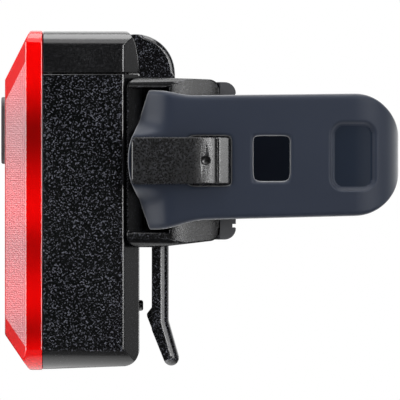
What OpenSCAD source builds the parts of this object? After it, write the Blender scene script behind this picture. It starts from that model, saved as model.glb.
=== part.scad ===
// Bike rear light with a belt clip, docked on a strap bracket for a seatpost.
// The post's axis is Z through the origin. The lens faces -X. Units are mm.

/* [Seat] */
// Seatpost diameter that the pad is shaped for
post_d = 31.6; // [29:0.1:33]
// Half width of the pad and of the bracket's rear end
pad_half_w = 13.2; // [12.8:0.1:14]
// Thickness of the pad's rubber
pad_t = 1.75; // [1.4:0.05:2.4]
// Height of the pad
pad_h = 28.8; // [24:0.2:29]
// Corner radius of the pad's ends, seen from the side
pad_corner_r = 2.1; // [0.8:0.1:2.4]
// Number of grip grooves across the pad
groove_count = 15; // [5:2:17]
// Step from groove to groove
groove_pitch = 1.7; // [1.4:0.1:2]
// Width of a groove
groove_w = 0.7; // [0.4:0.1:0.9]
// Depth of a groove
groove_d = 0.35; // [0.2:0.05:0.6]

/* [Bracket] */
// Reach of the bracket above the hook's middle
bracket_up = 15.2; // [14.6:0.1:17]
// Reach of the bracket below the hook's middle
bracket_down = 15.8; // [14.8:0.1:17]
// Radius of the long edges
bracket_edge_r = 2.2; // [1:0.1:2.6]
// Radius of the front corners, seen from the side
bracket_corner_r = 2; // [1:0.1:3]
// Drop of the top edge towards the pad
bracket_drop = 0.3; // [0.2:0.1:1]
// Rise of the bottom edge towards the pad
bracket_rise = 1.1; // [0.4:0.1:1.3]
// Corner radius of the bracket's rear ends, seen from the side
bracket_rear_r = 2; // [1:0.1:2.4]
// Wall between the clip slot and the pad
rear_wall = 1.05; // [0.8:0.05:2]
// Wall in front of the clip slot
web_t = 0.82; // [0.7:0.02:1.5]
// Room behind the clip's tail in its slot
slot_gap = 0.42; // [0.3:0.02:1]
// Forward reach of the lips past that wall
lip_reach = 2.28; // [1.5:0.02:2.4]
// Thickness of the lips round the housing's rear edges
lip_t = 0.9; // [0.7:0.05:1.1]
// Straight length of the bracket's side behind the lips' tips
side_straight = 5.5; // [4:0.1:7]
// Depth of the side pocket under the strap's end
pocket_depth = 4.4; // [4:0.1:4.8]
// Room above and below the strap's wings in the pocket
pocket_gap = 0.4; // [0.3:0.05:0.6]
// Length of the side pocket from the lips' tips
pocket_len = 7.7; // [7.4:0.1:8.6]
// Width of the two ribs that seat the clip
rib_w = 2; // [1.2:0.1:2.4]

/* [Hook] */
// Height of the strap hook
hook_h = 8.56; // [6:0.1:9]
// Thickness of the hook's plate
hook_t = 2.05; // [1.6:0.05:3]
// Set-back of the hook's free end from the lips' tips
hook_setback = 0.87; // [0.8:0.01:1.4]
// Length of the hook's plate from its free end to its root
hook_free = 10.6; // [10:0.1:11]
// Length of the root along the bracket
hook_root = 7.26; // [6.6:0.02:7.4]
// Radius of the hook's rounded rear part
hook_bend_r = 17; // [9:0.1:20]
// Corner radius of the free end
hook_corner_r = 0.8; // [0.4:0.1:1.5]
// Diameter of the small blind hole in the hook
hook_hole_d = 1.4; // [0.8:0.1:2]
// Depth of that hole
hook_hole_depth = 1.2; // [0.6:0.1:1.6]
// Width of the score line across the hook
score_w = 0.35; // [0.2:0.05:0.6]
// Depth of the score line
score_depth = 0.35; // [0.2:0.05:0.6]

/* [Strap] */
// Thickness of the strap
strap_t = 2.4; // [1.8:0.1:3]
// Reach of the strap behind the post's axis
strap_reach = 21.08; // [20.4:0.02:24]
// Strap edge above the hook's middle
strap_up = 11.9; // [10:0.1:12.4]
// Strap edge below the hook's middle
strap_down = 11; // [9.4:0.1:12]
// Rise of the strap's upper edge towards its rear end
strap_top_rise = 0.4; // [0:0.1:0.6]
// Rise of the strap's lower edge towards its rear end
strap_low_rise = 0.9; // [0:0.1:1.2]
// Bend radius of the strap's rear corners, outside
strap_bend_r = 7.5; // [6:0.1:14]
// Corner radius of the strap's rear end, seen from the side
strap_end_r = 7.5; // [5:0.1:9]
// Extra height of the flared wings at the strap's end
wing_flare = 1; // [0.4:0.1:1.2]
// Half height of the strap's nose under the hook
nose_half_h = 5.9; // [5.4:0.1:6.4]
// Reach of the nose past the hook's free end
nose_past = 0.82; // [0.7:0.02:1.2]
// Thickness of the rim that covers the hook's free end
nose_rim = 0.6; // [0.4:0.05:0.8]
// Height of that rim over the strap's face
nose_rim_up = 1; // [0.4:0.1:2]
// Dip of the wings into the side pockets
wing_dip = 3.1; // [2.4:0.1:3.4]
// Length of the second hook hole
hole_len = 6.6; // [4:0.1:8]
// Height of the second hook hole
hole_h = 8.17; // [6:0.01:9]
// Middle of the second hook hole, from the post's axis towards the light
hole_back = 2.2; // [0:0.1:3]
// Middle of the hole and the dimple above the hook's middle
hole_up = 0.4; // [0:0.1:1]
// Corner radius of the second hook hole
hole_r = 0.9; // [0.5:0.1:1.5]
// Length of the thumb dimple
dimple_len = 8.8; // [6:0.1:9]
// Height of the thumb dimple
dimple_h = 13; // [8:0.1:14]
// Set-back of the dimple from the strap's rear end
dimple_inset = 4; // [3.6:0.1:5]
// Depth of the thumb dimple
dimple_depth = 0.9; // [0.4:0.1:1.4]
// Corner radius of the thumb dimple
dimple_r = 2.6; // [1:0.1:4]

/* [Housing] */
// Room between the cells and the wall in front of them
cell_front_gap = 0.63; // [0.4:0.01:1]
// Width of the light
light_w = 32; // [31:0.1:33]
// Height of the hood's underside above which the light ends
hood_h = 8.4; // [8:0.1:9]
// Wall of the housing
wall = 2; // [1.6:0.1:2.2]
// Radius of the rear upright edges
rear_edge_r = 2.7; // [2.4:0.1:3]
// Radius of the lower long edges
low_edge_r = 3.8; // [2:0.1:5]
// Radius of the upper long edges
top_edge_r = 2.6; // [1:0.1:2.8]
// Radius of the lower rear corner, seen from the side
low_corner_r = 2.75; // [1.5:0.05:4]
// Rise of the light's underside towards its back
low_draft = 0.55; // [0:0.05:0.6]
// Rounding of the cap's back towards its top
cap_back_round = 2.1; // [1.2:0.1:2.2]
// Thickness of the wall between board and cells
bulkhead_t = 1.2; // [1:0.1:1.6]
// Depth of the board's chamber
board_room = 2.93; // [2.6:0.01:3.4]
// Thickness of the ribs beside the cells
cell_rib_t = 1; // [0.6:0.1:1.6]
// Diameter of the nub on the back
nub_d = 2; // [1.2:0.1:3]
// Nub above the light's lower end
nub_up = 11.5; // [8:0.05:14]
// Height of the nub
nub_t = 0.75; // [0.4:0.05:0.9]

/* [Cap] */
// Height of the cap's skirt above the parting line
cap_h = 7.5; // [7:0.1:8]
// Gap of the parting line
parting_gap = 0.35; // [0.2:0.05:0.5]
// Wall of the cap
cap_wall = 1.2; // [1:0.1:1.4]
// Depth of the cap's plug below the parting line
plug_depth = 3.5; // [3:0.1:3.8]
// Thickness of the plug
plug_t = 2.6; // [2.2:0.1:3]
// Groove depth for the cap's seal
cap_groove = 0.8; // [0.5:0.1:1]
// Height of the cap's seal
cap_seal_h = 1; // [0.7:0.1:1.2]
// Half width of the hood
hood_half_w = 8.6; // [8.4:0.1:9.4]
// Rounding radius of the hood
hood_r = 7.2; // [6.6:0.1:7.4]
// Wall of the hood behind the clip
hood_wall = 1.4; // [1:0.1:1.6]

/* [Lens] */
// Depth of the lens
lens_depth = 6.97; // [6.8:0.01:9]
// Lens edge beyond the housing's edge, above and below
lens_proud = 0.15; // [0:0.05:0.4]
// Wall of the lens at its sides
lens_wall = 2.7; // [2.6:0.1:3]
// Height of the lens's bottom rim
lens_low_rim = 1.9; // [1.8:0.1:2.4]
// Wall of the lens at its front
lens_front_t = 1.8; // [1.4:0.1:2.2]
// Height of the lens's top rim
lens_top_rim = 3.5; // [3:0.1:4]
// Depth of the side bevels
side_bevel_d = 4.05; // [3:0.05:4.6]
// Width of the side bevels
side_bevel_w = 4.5; // [3:0.1:5]
// Depth of the top bevel
top_bevel_d = 4.7; // [3:0.1:5.4]
// Height of the top bevel
top_bevel_h = 9; // [6:0.1:9.4]
// Depth of the bottom bevel
low_bevel_d = 4.6; // [3:0.1:5.4]
// Height of the bottom bevel
low_bevel_h = 6.5; // [4:0.1:7]
// Width of the seal's ring
seal_w = 0.9; // [0.7:0.1:1]
// Wall between the seal's groove and the board's chamber
seal_land = 0.55; // [0.4:0.05:0.8]
// Depth of the seal's groove
seal_d = 0.7; // [0.4:0.1:1]
// Edge of the seal above the light's lower end
seal_inset = 0.7; // [0.5:0.1:0.8]
// Edge of the seal to the edge of the housing's front plate
seal_edge = 0.25; // [0.2:0.05:0.4]
// Corner radius of the seal
seal_r = 2; // [1.6:0.1:2.2]

/* [Optics] */
// Gap from the reflex insert's sides to the lens's front edges
insert_side_gap = 0.9; // [0.7:0.05:1.6]
// Gap from the reflex insert's ends to the lens's front edges
insert_end_gap = 0.75; // [0.6:0.05:1.4]
// Wall of the reflex insert
insert_wall = 1; // [0.8:0.1:1.2]
// Front plate of the reflex insert
insert_front_t = 1.2; // [0.8:0.1:1.4]
// Gap from the insert to the lens's front wall
insert_gap = 0.3; // [0.2:0.05:0.5]
// Gap between the light guide and the screws' heads
guide_side_gap = 1.2; // [0.6:0.1:2]
// Gap between the button's flange and the light guide
guide_top_gap = 3; // [1.5:0.1:4]
// Gap between the light guide and the insert's lower wall
guide_low_gap = 2; // [1:0.1:3]
// Step of the light guide behind the insert's plate
guide_step = 0.8; // [0.5:0.1:1.2]
// Number of LEDs
led_count = 3; // [2:1:4]
// Step from LED to LED
led_pitch = 7; // [4:0.5:7.5]
// Base of an LED
led_base = 3; // [2:0.1:3.5]
// Height of an LED's base
led_base_t = 0.8; // [0.5:0.1:1]
// Diameter of an LED's dome
led_dome_d = 2.2; // [1.6:0.1:2.4]

/* [Button] */
// Distance from the button's sides to the insert's sides
button_inset = 5.1; // [5:0.1:6.4]
// Height of the button
button_h = 12.3; // [8:0.1:12.6]
// Middle of the button below the light's top
button_drop = 18; // [17.4:0.05:19]
// Button's reach past the lens
button_proud = 0.8; // [0.55:0.05:1.2]
// Corner radius of the button
button_r = 2; // [1:0.1:3]
// Width of the button's flange behind the lens
button_flange = 0.7; // [0.4:0.1:0.9]
// Thickness of that flange
flange_t = 1; // [0.6:0.1:1.2]
// Travel of the button
button_travel = 0.5; // [0.3:0.05:0.5]
// Diameter of the button's stem
stem_d = 3.2; // [2:0.1:4]
// Wall of the rubber boot
boot_wall = 0.7; // [0.5:0.1:1]

/* [Board] */
// Thickness of the board
board_t = 1.2; // [0.8:0.1:1.6]
// Side of the switch's body
switch_side = 4.5; // [4:0.1:6]
// Height of the switch's body
switch_t = 1.6; // [1.4:0.1:2]
// Diameter of the switch's plunger
plunger_d = 2.4; // [1.6:0.1:3]
// Length of the plunger
plunger_len = 1.4; // [1.2:0.1:1.6]
// Distance of the plunger's front from the switch's body
plunger_out = 0.8; // [0.6:0.1:1]
// Thread diameter of the board screws
screw_d = 1.6; // [1.2:0.1:2]
// Head diameter of the board screws
screw_head_d = 2.8; // [2:0.1:3]
// Head height of the board screws
screw_head_t = 0.8; // [0.5:0.1:1]
// Screws' distance from the insert's walls
screw_inset = 2; // [1.8:0.1:2.4]
// Screws' bite in the bulkhead
screw_bite = 0.8; // [0.5:0.1:0.8]

/* [Cells] */
// Room for the contacts under the cells
contact_room = 3.4; // [2.8:0.05:4]
// Diameter of an AAA cell
cell_d = 10.5; // [10:0.1:10.5]
// Length of an AAA cell with its nub
cell_l = 44.5; // [43.5:0.1:44.5]
// Diameter of the cell's nub
cell_nub_d = 3.8; // [3:0.1:4.5]
// Height of the cell's nub
cell_nub_t = 1; // [0.8:0.1:1.5]
// Gap between the two cells
cell_gap = 1; // [0.5:0.1:1.5]
// Thickness of the contact sheet
sheet_t = 0.4; // [0.3:0.05:0.5]
// Width of the contact sheet
sheet_w = 5; // [4:0.1:6]
// Wire diameter of the contact spring
spring_wire = 0.6; // [0.4:0.05:0.7]
// Middle radius of the contact spring
spring_r = 3; // [2:0.1:3.5]
// Turns of the contact spring
spring_turns = 2.5; // [2:0.5:3]

/* [Clip] */
// Half width of the clip's tongue
clip_half_w = 6.5; // [5:0.1:6.8]
// Thickness of the tongue above the slot's mouth
clip_thin = 2.4; // [2:0.1:2.6]
// Thickness of the tongue below it
clip_t = 3.1; // [2.8:0.05:3.2]
// Tongue's front face behind the housing's back
clip_gap = 2.35; // [2.2:0.05:2.6]
// Tooth's height
tooth_t = 0.92; // [0.5:0.02:1]
// Half width of the tooth
tooth_half_w = 3.2; // [2:0.1:3.4]
// Tooth's shoulder above the light's lower end
tooth_up = 11.2; // [9.6:0.05:14]
// Tooth's tip below its shoulder
tooth_drop = 1.2; // [0.8:0.1:2]
// Start of the bent tail above the light's lower end
bend_up = 8.5; // [7.6:0.05:9]
// Length of the tail down to the middle of its round end
tail_len = 6.6; // [5:0.1:7]
// Rearward reach of the tail
tail_out = 1.95; // [1.4:0.05:2]
// Radius of the tail's round end
tail_r = 1.4; // [1:0.1:1.5]
// Pivot of the clip behind the housing's back
pivot_back = 2.2; // [2:0.05:2.4]
// Pivot of the clip above the hood's underside
pivot_up = 2.7; // [2.4:0.1:3]
// Diameter of the clip's pin
pin_d = 1.6; // [1.2:0.1:1.8]
// Radius of the clip's knuckle
knuckle_r = 1.45; // [1.3:0.05:1.5]
// Half width of the gap for the torsion spring
spring_gap = 2; // [1.4:0.1:2.4]
// Wire diameter of the torsion spring
torsion_wire = 0.45; // [0.3:0.05:0.5]

/* [Clearances] */
// Gap between the housing and the bracket
dock_gap = 0.15; // [0.1:0.01:0.25]
// Gap between the strap and what it lies on
strap_gap = 0.25; // [0.15:0.05:0.4]
// Gap of parts that slide past each other
slide_gap = 0.3; // [0.2:0.05:0.4]
// Gap of parts that only stand together
seat_gap = 0.05; // [0.02:0.01:0.1]
// Gap of the clip's knuckle on its pin
pin_gap = 0.05; // [0.02:0.01:0.08]
// Gap at the clip's sides
clip_side_gap = 0.4; // [0.3:0.05:0.6]

/* [Hidden] */
$fn = 48;
big = 200;
half_w = light_w / 2;
bracket_half_w = half_w + dock_gap + lip_t;
post_r = post_d / 2;
seat_r = post_r + pad_t;
slot_depth = clip_gap - dock_gap - web_t + clip_t + tail_out + slot_gap;
housing_depth = board_room + bulkhead_t + cell_front_gap + cell_d + slide_gap + wall;
slot_rear = -(seat_r + seat_gap + rear_wall);
slot_front = slot_rear - slot_depth;
bracket_front = slot_front - web_t;
lip_x = bracket_front - lip_reach;
back_x = bracket_front - dock_gap;
front_x = back_x - housing_depth;
lens_x = front_x - lens_depth;
hood_z = bracket_up + seat_gap;
top_z = hood_z + hood_h;
cap_z = top_z - cap_h;
split_z = cap_z - parting_gap;
plug_z = cap_z - plug_depth;
bridge_z = plug_z - sheet_t;
cell_top = bridge_z - sheet_t - seat_gap;
cell_low = cell_top - cell_l;
floor_z = cell_low - contact_room;
low_z = floor_z - wall;
body_h = top_z - low_z;
edge_cx = back_x - rear_edge_r;
edge_cy = half_w - rear_edge_r;
lip_in_r = rear_edge_r + dock_gap;
lip_out_r = lip_in_r + lip_t;
rear_x = -sqrt(pow(seat_r + seat_gap, 2) - pow(pad_half_w, 2));
side_x = lip_x + side_straight;
side_run = rear_x - side_x;
side_fall = bracket_half_w - pad_half_w;
side_r = (side_run * side_run + side_fall * side_fall) / (2 * side_fall);
strap_in = bracket_half_w + strap_gap;
strap_out = strap_in + strap_t;
hook_in = strap_out + strap_gap;
hook_out = hook_in + hook_t;
hook_x0 = lip_x + hook_setback;
root_x0 = hook_x0 + hook_free;
root_x1 = root_x0 + hook_root;
hook_fall = hook_bend_r - sqrt(pow(hook_bend_r, 2) - pow(root_x1 - root_x0, 2));
hook_hole_x = root_x0 + hook_root * 0.4;
score_x = root_x0 + hook_root * 0.68;
score_turn = asin((score_x - root_x0) / hook_bend_r);
score_fall = hook_bend_r * (1 - cos(score_turn));
hook_hole_fall = hook_bend_r - sqrt(pow(hook_bend_r, 2) - pow(hook_hole_x - root_x0, 2));
nose_x = hook_x0 - nose_past;
wing_x = nose_x + 6.8;
wing_end = nose_x + 2.6;
wing_top = strap_up + wing_flare;
wing_low = strap_down + 1.6 * wing_flare;
rear_top = strap_up + strap_top_rise;
rear_low = strap_low_rise - strap_down;
bulk_x = front_x + board_room;
cell_room_x0 = bulk_x + bulkhead_t;
cell_room_x1 = back_x - wall;
cell_room_half_w = half_w - wall;
cell_x = cell_room_x1 - slide_gap - cell_d / 2;
cell_y = (cell_d + cell_gap) / 2;
plate_top = top_z - cap_wall - 0.2;
plate_half_w = half_w - cap_wall - 0.2;
plate_t = 1.2;
seal_half_w = plate_half_w - seal_edge;
board_room_half_w = seal_half_w - seal_w - seal_land;
board_x1 = bulk_x - 0.8;
board_x0 = board_x1 - board_t;
board_low = floor_z + slide_gap / 2;
board_top = split_z - 1.5;
switch_x = board_x0 - switch_t;
plunger_x = switch_x - plunger_out;
stem_x = plunger_x - seat_gap;
lens_in_x = lens_x + lens_front_t;
flange_x = lens_in_x + dock_gap;
boot_x = flange_x + flange_t + button_travel + 0.1;
button_z = top_z - button_drop;
insert_x = lens_in_x + insert_gap;
insert_half_w = half_w - side_bevel_w - insert_side_gap;
insert_z1 = top_z + lens_proud - top_bevel_h - insert_end_gap;
insert_z0 = low_z - lens_proud + low_bevel_h + insert_end_gap;
screw_side = insert_half_w - insert_wall - screw_inset;
guide_half_w = screw_side - screw_head_d / 2 - guide_step - guide_side_gap;
button_half_w = insert_half_w - button_inset;
guide_z1 = button_z - button_h / 2 - button_flange - guide_top_gap;
guide_z0 = insert_z0 + insert_wall + guide_low_gap;
clip_x = back_x + clip_gap;
clip_x1 = clip_x + clip_t;
pivot_x = back_x + pivot_back;
pivot_z = hood_z + pivot_up;
slot_half_w = clip_half_w + clip_side_gap;
tooth_z = low_z + tooth_up;
bend_z = low_z + bend_up;
tail_x = clip_x1 - tail_r + tail_out - 0.06;
tail_z = bend_z - tail_len;
screw_top_z = insert_z1 - insert_wall - 2;
screw_low_z = insert_z0 + insert_wall + 2;

// Extrudes a (y, z) outline along X
module along_x(x0, x1) {
    translate([x0, 0, 0]) rotate([90, 0, 90]) linear_extrude(x1 - x0) children();
}

// Extrudes an (x, z) outline along Y
module along_y(y0, y1) {
    translate([0, y1, 0]) rotate([90, 0, 0]) linear_extrude(y1 - y0) children();
}

// Extrudes an (x, y) outline along Z
module along_z(z0, z1) {
    translate([0, 0, z0]) linear_extrude(z1 - z0) children();
}

// Both mirror images about the middle plane
module both_sides() {
    children();
    mirror([0, 1, 0]) children();
}

// Box between two corners
module box(a, b) {
    translate(a) cube([b[0] - a[0], b[1] - a[1], b[2] - a[2]]);
}

// Rounded rectangle between two corners
module round_rect(a, b, r) {
    translate([a[0] + r, a[1]]) square([b[0] - a[0] - 2 * r, b[1] - a[1]]);
    translate([a[0], a[1] + r]) square([b[0] - a[0], b[1] - a[1] - 2 * r]);
    for (x = [a[0] + r, b[0] - r], y = [a[1] + r, b[1] - r])
        translate([x, y]) circle(r);
}

// Front outline of the light, with its own radii above and below
module front_outline(w, z0, z1, r0, r1) {
    translate([-w, z0 + r0]) square([2 * w, z1 - z0 - r0 - r1]);
    translate([-w + r0, z0]) square([2 * (w - r0), r0]);
    translate([-w + r1, z1 - r1]) square([2 * (w - r1), r1]);
    for (s = [-1, 1]) {
        translate([s * (w - r0), z0 + r0]) circle(r0);
        translate([s * (w - r1), z1 - r1]) circle(r1);
    }
}

// Plan of the light's back, grown by a gap
module back_plan(gap) {
    translate([-big, -edge_cy]) square([big + back_x + gap, 2 * edge_cy]);
    translate([-big, -half_w - gap]) square([big + edge_cx, light_w + 2 * gap]);
    for (s = [-1, 1])
        translate([edge_cx, s * edge_cy]) circle(rear_edge_r + gap);
}

// Side outline of the light's back
module back_side() {
    r = low_corner_r;
    c = low_z + low_draft;
    polygon([[-big, low_z], [front_x, low_z], [back_x - r, c], [back_x - r, c + r], [back_x, c + r],
        [back_x, cap_z], [back_x - 0.04 * cap_back_round, cap_z + 0.14 * cap_h],
        [back_x - 0.13 * cap_back_round, cap_z + 0.38 * cap_h],
        [back_x - 0.27 * cap_back_round, cap_z + 0.62 * cap_h],
        [back_x - 0.46 * cap_back_round, cap_z + 0.81 * cap_h],
        [back_x - 0.7 * cap_back_round, cap_z + 0.93 * cap_h],
        [back_x - cap_back_round, top_z], [-big, top_z]]);
    translate([back_x - r, c + r]) circle(r);
}

// Outer form of housing and cap between two heights
module body_form(x0, z0, z1) {
    intersection() {
        along_x(x0, back_x) front_outline(half_w, low_z, top_z, low_edge_r, top_edge_r);
        along_z(z0, z1) back_plan(0);
        along_y(-big, big) back_side();
    }
}

// Half space outside one bevel of the lens, moved inwards by a wall
module bevel_cut(from, run, rise, w) {
    a = atan2(rise, run);
    translate([lens_x, 0, from]) rotate([0, -a, 0])
        translate([-big / 2, -big / 2, -w]) cube([big, big, big]);
}

// Half space outside one side bevel of the lens
module side_cut(w) {
    a = atan2(side_bevel_w, side_bevel_d);
    translate([lens_x, half_w - side_bevel_w, 0]) rotate([0, 0, a])
        translate([-big / 2, -w, -big / 2]) cube([big, big, big]);
}

// All four bevels
module bevels(w) {
    bevel_cut(top_z + lens_proud - top_bevel_h, top_bevel_d, top_bevel_h, w);
    translate([0, 0, low_z - lens_proud + low_bevel_h]) mirror([0, 0, 1])
        bevel_cut(0, low_bevel_d, low_bevel_h, w);
    both_sides() side_cut(w);
}

// Coil of round wire as one swept tube, along Z
module coil(r, wire, turns, h, steps) {
    sides = 6;
    n = floor(turns * steps);
    pts = [for (i = [0 : n], k = [0 : sides - 1])
        let (a = 360 * turns * i / n, b = 360 * k / sides, q = r + wire / 2 * cos(b))
        [q * cos(a), q * sin(a), h * i / n + wire / 2 * sin(b)]];
    ends = [[for (k = [sides - 1 : -1 : 0]) k], [for (k = [0 : sides - 1]) n * sides + k]];
    walls = [for (i = [0 : n - 1], k = [0 : sides - 1], t = [0, 1])
        let (j = (k + 1) % sides, p = i * sides, q = p + sides)
        t == 0 ? [p + k, q + j, q + k] : [p + k, p + j, q + j]];
    polyhedron(pts, concat(ends, walls), convexity = 8);
}

// Plan of the bracket's block
module bracket_plan() {
    translate([lip_x, -bracket_half_w]) square([side_straight, 2 * bracket_half_w]);
    both_sides() intersection() {
        translate([side_x - 1, -0.01]) square([rear_x - side_x + 8, big]);
        translate([side_x, bracket_half_w - side_r]) circle(side_r, $fn = 96);
    }
}

// Side outline of the bracket's block
module bracket_side() {
    r = bracket_corner_r;
    q = bracket_rear_r;
    top = bracket_up - bracket_drop;
    low = bracket_rise - bracket_down;
    polygon([[lip_x, r - bracket_down], [lip_x + r, -bracket_down],
        [side_x, -bracket_down], [rear_x - q, low], [rear_x - q, low + q], [rear_x, low + q],
        [rear_x, top - q], [rear_x - q, top - q], [rear_x - q, top], [side_x, bracket_up],
        [lip_x + r, bracket_up], [lip_x, bracket_up - r]]);
    translate([lip_x + r, r - bracket_down]) circle(r);
    translate([lip_x + r, bracket_up - r]) circle(r);
    translate([rear_x - q, low + q]) circle(q);
    translate([rear_x - q, top - q]) circle(q);
}

// Plan of one strap hook, on the +Y side
module hook_plan() {
    translate([hook_x0, hook_in]) square([hook_free + 0.5, hook_t]);
    difference() {
        translate([root_x0, hook_in - 5]) square([hook_root, hook_out - hook_in + 5]);
        difference() {
            translate([root_x0, hook_out - hook_fall]) square([hook_root + 1, hook_fall + 1]);
            translate([root_x0, hook_out - hook_bend_r]) circle(hook_bend_r, $fn = 96);
        }
    }
    polygon([[root_x0, pad_half_w - 1], [rear_x - 1.2, pad_half_w - 1],
        [root_x1, hook_in - 4.9], [root_x0, hook_in - 4.9]]);
}

// One strap hook with its blind hole and score line
module hook_solid() {
    difference() {
        intersection() {
            along_z(-hook_h / 2, hook_h / 2) hook_plan();
            along_y(0, big) union() {
                round_rect([hook_x0, -hook_h / 2], [root_x0, hook_h / 2], hook_corner_r);
                translate([hook_x0 + 2, -hook_h / 2]) square([hook_free + hook_root, hook_h]);
            }
        }
        translate([hook_hole_x, hook_out - hook_hole_fall - hook_hole_depth, 0]) rotate([-90, 0, 0])
            cylinder(h = 5, d = hook_hole_d);
        translate([score_x, hook_out - score_fall, 0]) rotate([0, 0, -score_turn])
            translate([-score_w / 2, -score_depth, -hook_h]) cube([score_w, 5, 2 * hook_h]);
    }
}

module bracket() {
    color([0.06, 0.06, 0.065]) {
        difference() {
            intersection() {
                along_z(-bracket_down, bracket_up) bracket_plan();
                along_y(-big, big) bracket_side();
                along_x(lip_x, 0) front_outline(bracket_half_w, -bracket_down, bracket_up,
                    bracket_edge_r, bracket_edge_r);
            }
            along_z(-big, big) back_plan(dock_gap);
            cylinder(h = big, r = seat_r + seat_gap, center = true, $fn = 96);
            box([bracket_front - 1, -nub_d / 2 - slide_gap, -big],
                [slot_front + 0.5, nub_d / 2 + slide_gap, big]);
            difference() {
                box([slot_front, -slot_half_w, -big], [slot_rear, slot_half_w, big]);
                both_sides()
                    box([slot_front - 1, tooth_half_w + 0.8, -big],
                        [clip_x - seat_gap, tooth_half_w + 0.8 + rib_w, big]);
            }
            both_sides() along_z(-wing_low - pocket_gap, wing_top + pocket_gap) difference() {
                translate([lip_x, bracket_half_w - pocket_depth]) square([pocket_len, 20]);
                translate([edge_cx, edge_cy]) circle(lip_out_r);
            }
        }
        both_sides() hook_solid();
    }
}

// Section of the ribbed pad as (radius, z)
module pad_section() {
    difference() {
        translate([post_r, -pad_h / 2]) square([pad_t, pad_h]);
        for (i = [0 : groove_count - 1])
            translate([post_r - 1, (i - (groove_count - 1) / 2) * groove_pitch - groove_w / 2])
                square([groove_d + 1, groove_w]);
    }
}

module seat_pad() {
    lip = -sqrt(post_r * post_r - pad_half_w * pad_half_w);
    color([0.2, 0.21, 0.22])
    intersection() {
        rotate_extrude($fn = 96) pad_section();
        along_y(-pad_half_w, pad_half_w)
            round_rect([-2 * seat_r, -pad_h / 2], [lip, pad_h / 2], pad_corner_r);
    }
}

// Plan of the strap's loop, moved inwards by a depth
module loop_plan(d) {
    r = strap_bend_r - d;
    w = strap_out - d;
    x = strap_reach - d;
    translate([nose_x, -w]) square([x - r - nose_x, 2 * w]);
    translate([x - r - 1, r - w]) square([r + 1, 2 * (w - r)]);
    for (s = [-1, 1])
        translate([x - r, s * (w - r)]) circle(r, $fn = 64);
}

// Side outline of the strap
module strap_side() {
    r = strap_end_r;
    x = strap_reach - r;
    polygon([[wing_x, -strap_down], [x, rear_low], [x, rear_top], [wing_x, strap_up]]);
    translate([x - 1, rear_low + r]) square([r + 1, rear_top - rear_low - 2 * r]);
    translate([x, rear_top - r]) circle(r, $fn = 64);
    translate([x, rear_low + r]) circle(r, $fn = 64);
    polygon([[wing_x + 4.5, strap_up], [wing_x + 2, strap_up + 0.3 * wing_flare],
        [wing_x - 0.6, wing_top], [wing_x - 1.9, wing_top], [wing_x - 2.9, wing_top - 1],
        [wing_x - 3.7, strap_up * 0.72], [nose_x + 1.7, nose_half_h - 0.2],
        [nose_x + 0.55, nose_half_h * 0.68], [nose_x + 0.12, nose_half_h * 0.26], [nose_x, -0.3],
        [nose_x + 0.25, -nose_half_h * 0.46], [nose_x + 1.1, -nose_half_h * 0.82],
        [nose_x + 2.5, -nose_half_h - 0.9], [wing_x - 3.4, -strap_down * 0.86],
        [wing_x - 2.5, 0.7 - wing_low], [wing_x - 1.4, -wing_low], [wing_x + 0.6, 0.7 - wing_low],
        [wing_x + 2.6, -strap_down - 0.4 * wing_flare], [wing_x + 5, -strap_down]]);
}

// Strap's band seen from behind: it narrows through the bends
module band_back() {
    in_y = strap_out - strap_bend_r;
    z1 = rear_top - strap_end_r;
    z0 = rear_low + strap_end_r;
    polygon([[-in_y, z0], [in_y, z0], [strap_in, rear_low], [big, rear_low], [big, rear_top],
        [strap_in, rear_top], [in_y, z1], [-in_y, z1], [-strap_in, rear_top], [-big, rear_top],
        [-big, rear_low], [-strap_in, rear_low]]);
}

// One bent wing of the strap's end, on the +Y side
module wing_plan() {
    polygon([[wing_x + 0.8, strap_in], [wing_x + 0.8, strap_out], [wing_x - 0.2, strap_out],
        [wing_end - 0.1, strap_out - wing_dip - 0.1], [wing_end + 0.8, strap_in - wing_dip],
        [wing_x + 0.4, strap_in]]);
}

module strap() {
    hole_x0 = -hole_back - hole_len / 2;
    dimple_x1 = strap_reach - dimple_inset;
    color([0.18, 0.21, 0.26])
    difference() {
        union() {
            intersection() {
                along_z(-big / 2, big / 2) difference() {
                    loop_plan(0);
                    loop_plan(strap_t);
                    translate([nose_x - 1, -strap_in]) square([10, 2 * strap_in]);
                }
                along_y(-big, big) strap_side();
                union() {
                    box([wing_x, -big, -big], [strap_reach - strap_bend_r, big, big]);
                    box([-big, -big, -nose_half_h], [wing_x + 1, big, nose_half_h]);
                    along_x(strap_reach - strap_bend_r - 0.1, big) band_back();
                }
            }
            both_sides() intersection() {
                along_z(-big / 2, big / 2) wing_plan();
                along_y(0, big) strap_side();
                union() {
                    box([-big, -big, nose_half_h - 0.4], [big, big, big]);
                    box([-big, -big, -big], [big, big, 0.4 - nose_half_h]);
                }
            }
            both_sides() intersection() {
                box([nose_x, strap_in, -nose_half_h * 0.6],
                    [nose_x + nose_rim, strap_out + nose_rim_up, nose_half_h * 0.6]);
                along_y(0, big) strap_side();
            }
        }
        both_sides()
            box([root_x0 - strap_gap, strap_in - 1, -hook_h / 2 - strap_gap],
                [root_x1 + strap_gap, strap_out + 1, hook_h / 2 + strap_gap]);
        along_y(-big, 0) round_rect([hole_x0, hole_up - hole_h / 2],
            [hole_x0 + hole_len, hole_up + hole_h / 2], hole_r);
        intersection() {
            along_z(-big / 2, big / 2) difference() {
                translate([0, -big]) square([big, 2 * big]);
                loop_plan(dimple_depth);
            }
            along_y(-big, 0) round_rect([dimple_x1 - dimple_len, hole_up + 0.4 - dimple_h / 2],
                [dimple_x1, hole_up + 0.4 + dimple_h / 2], dimple_r);
        }
    }
}

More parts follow.
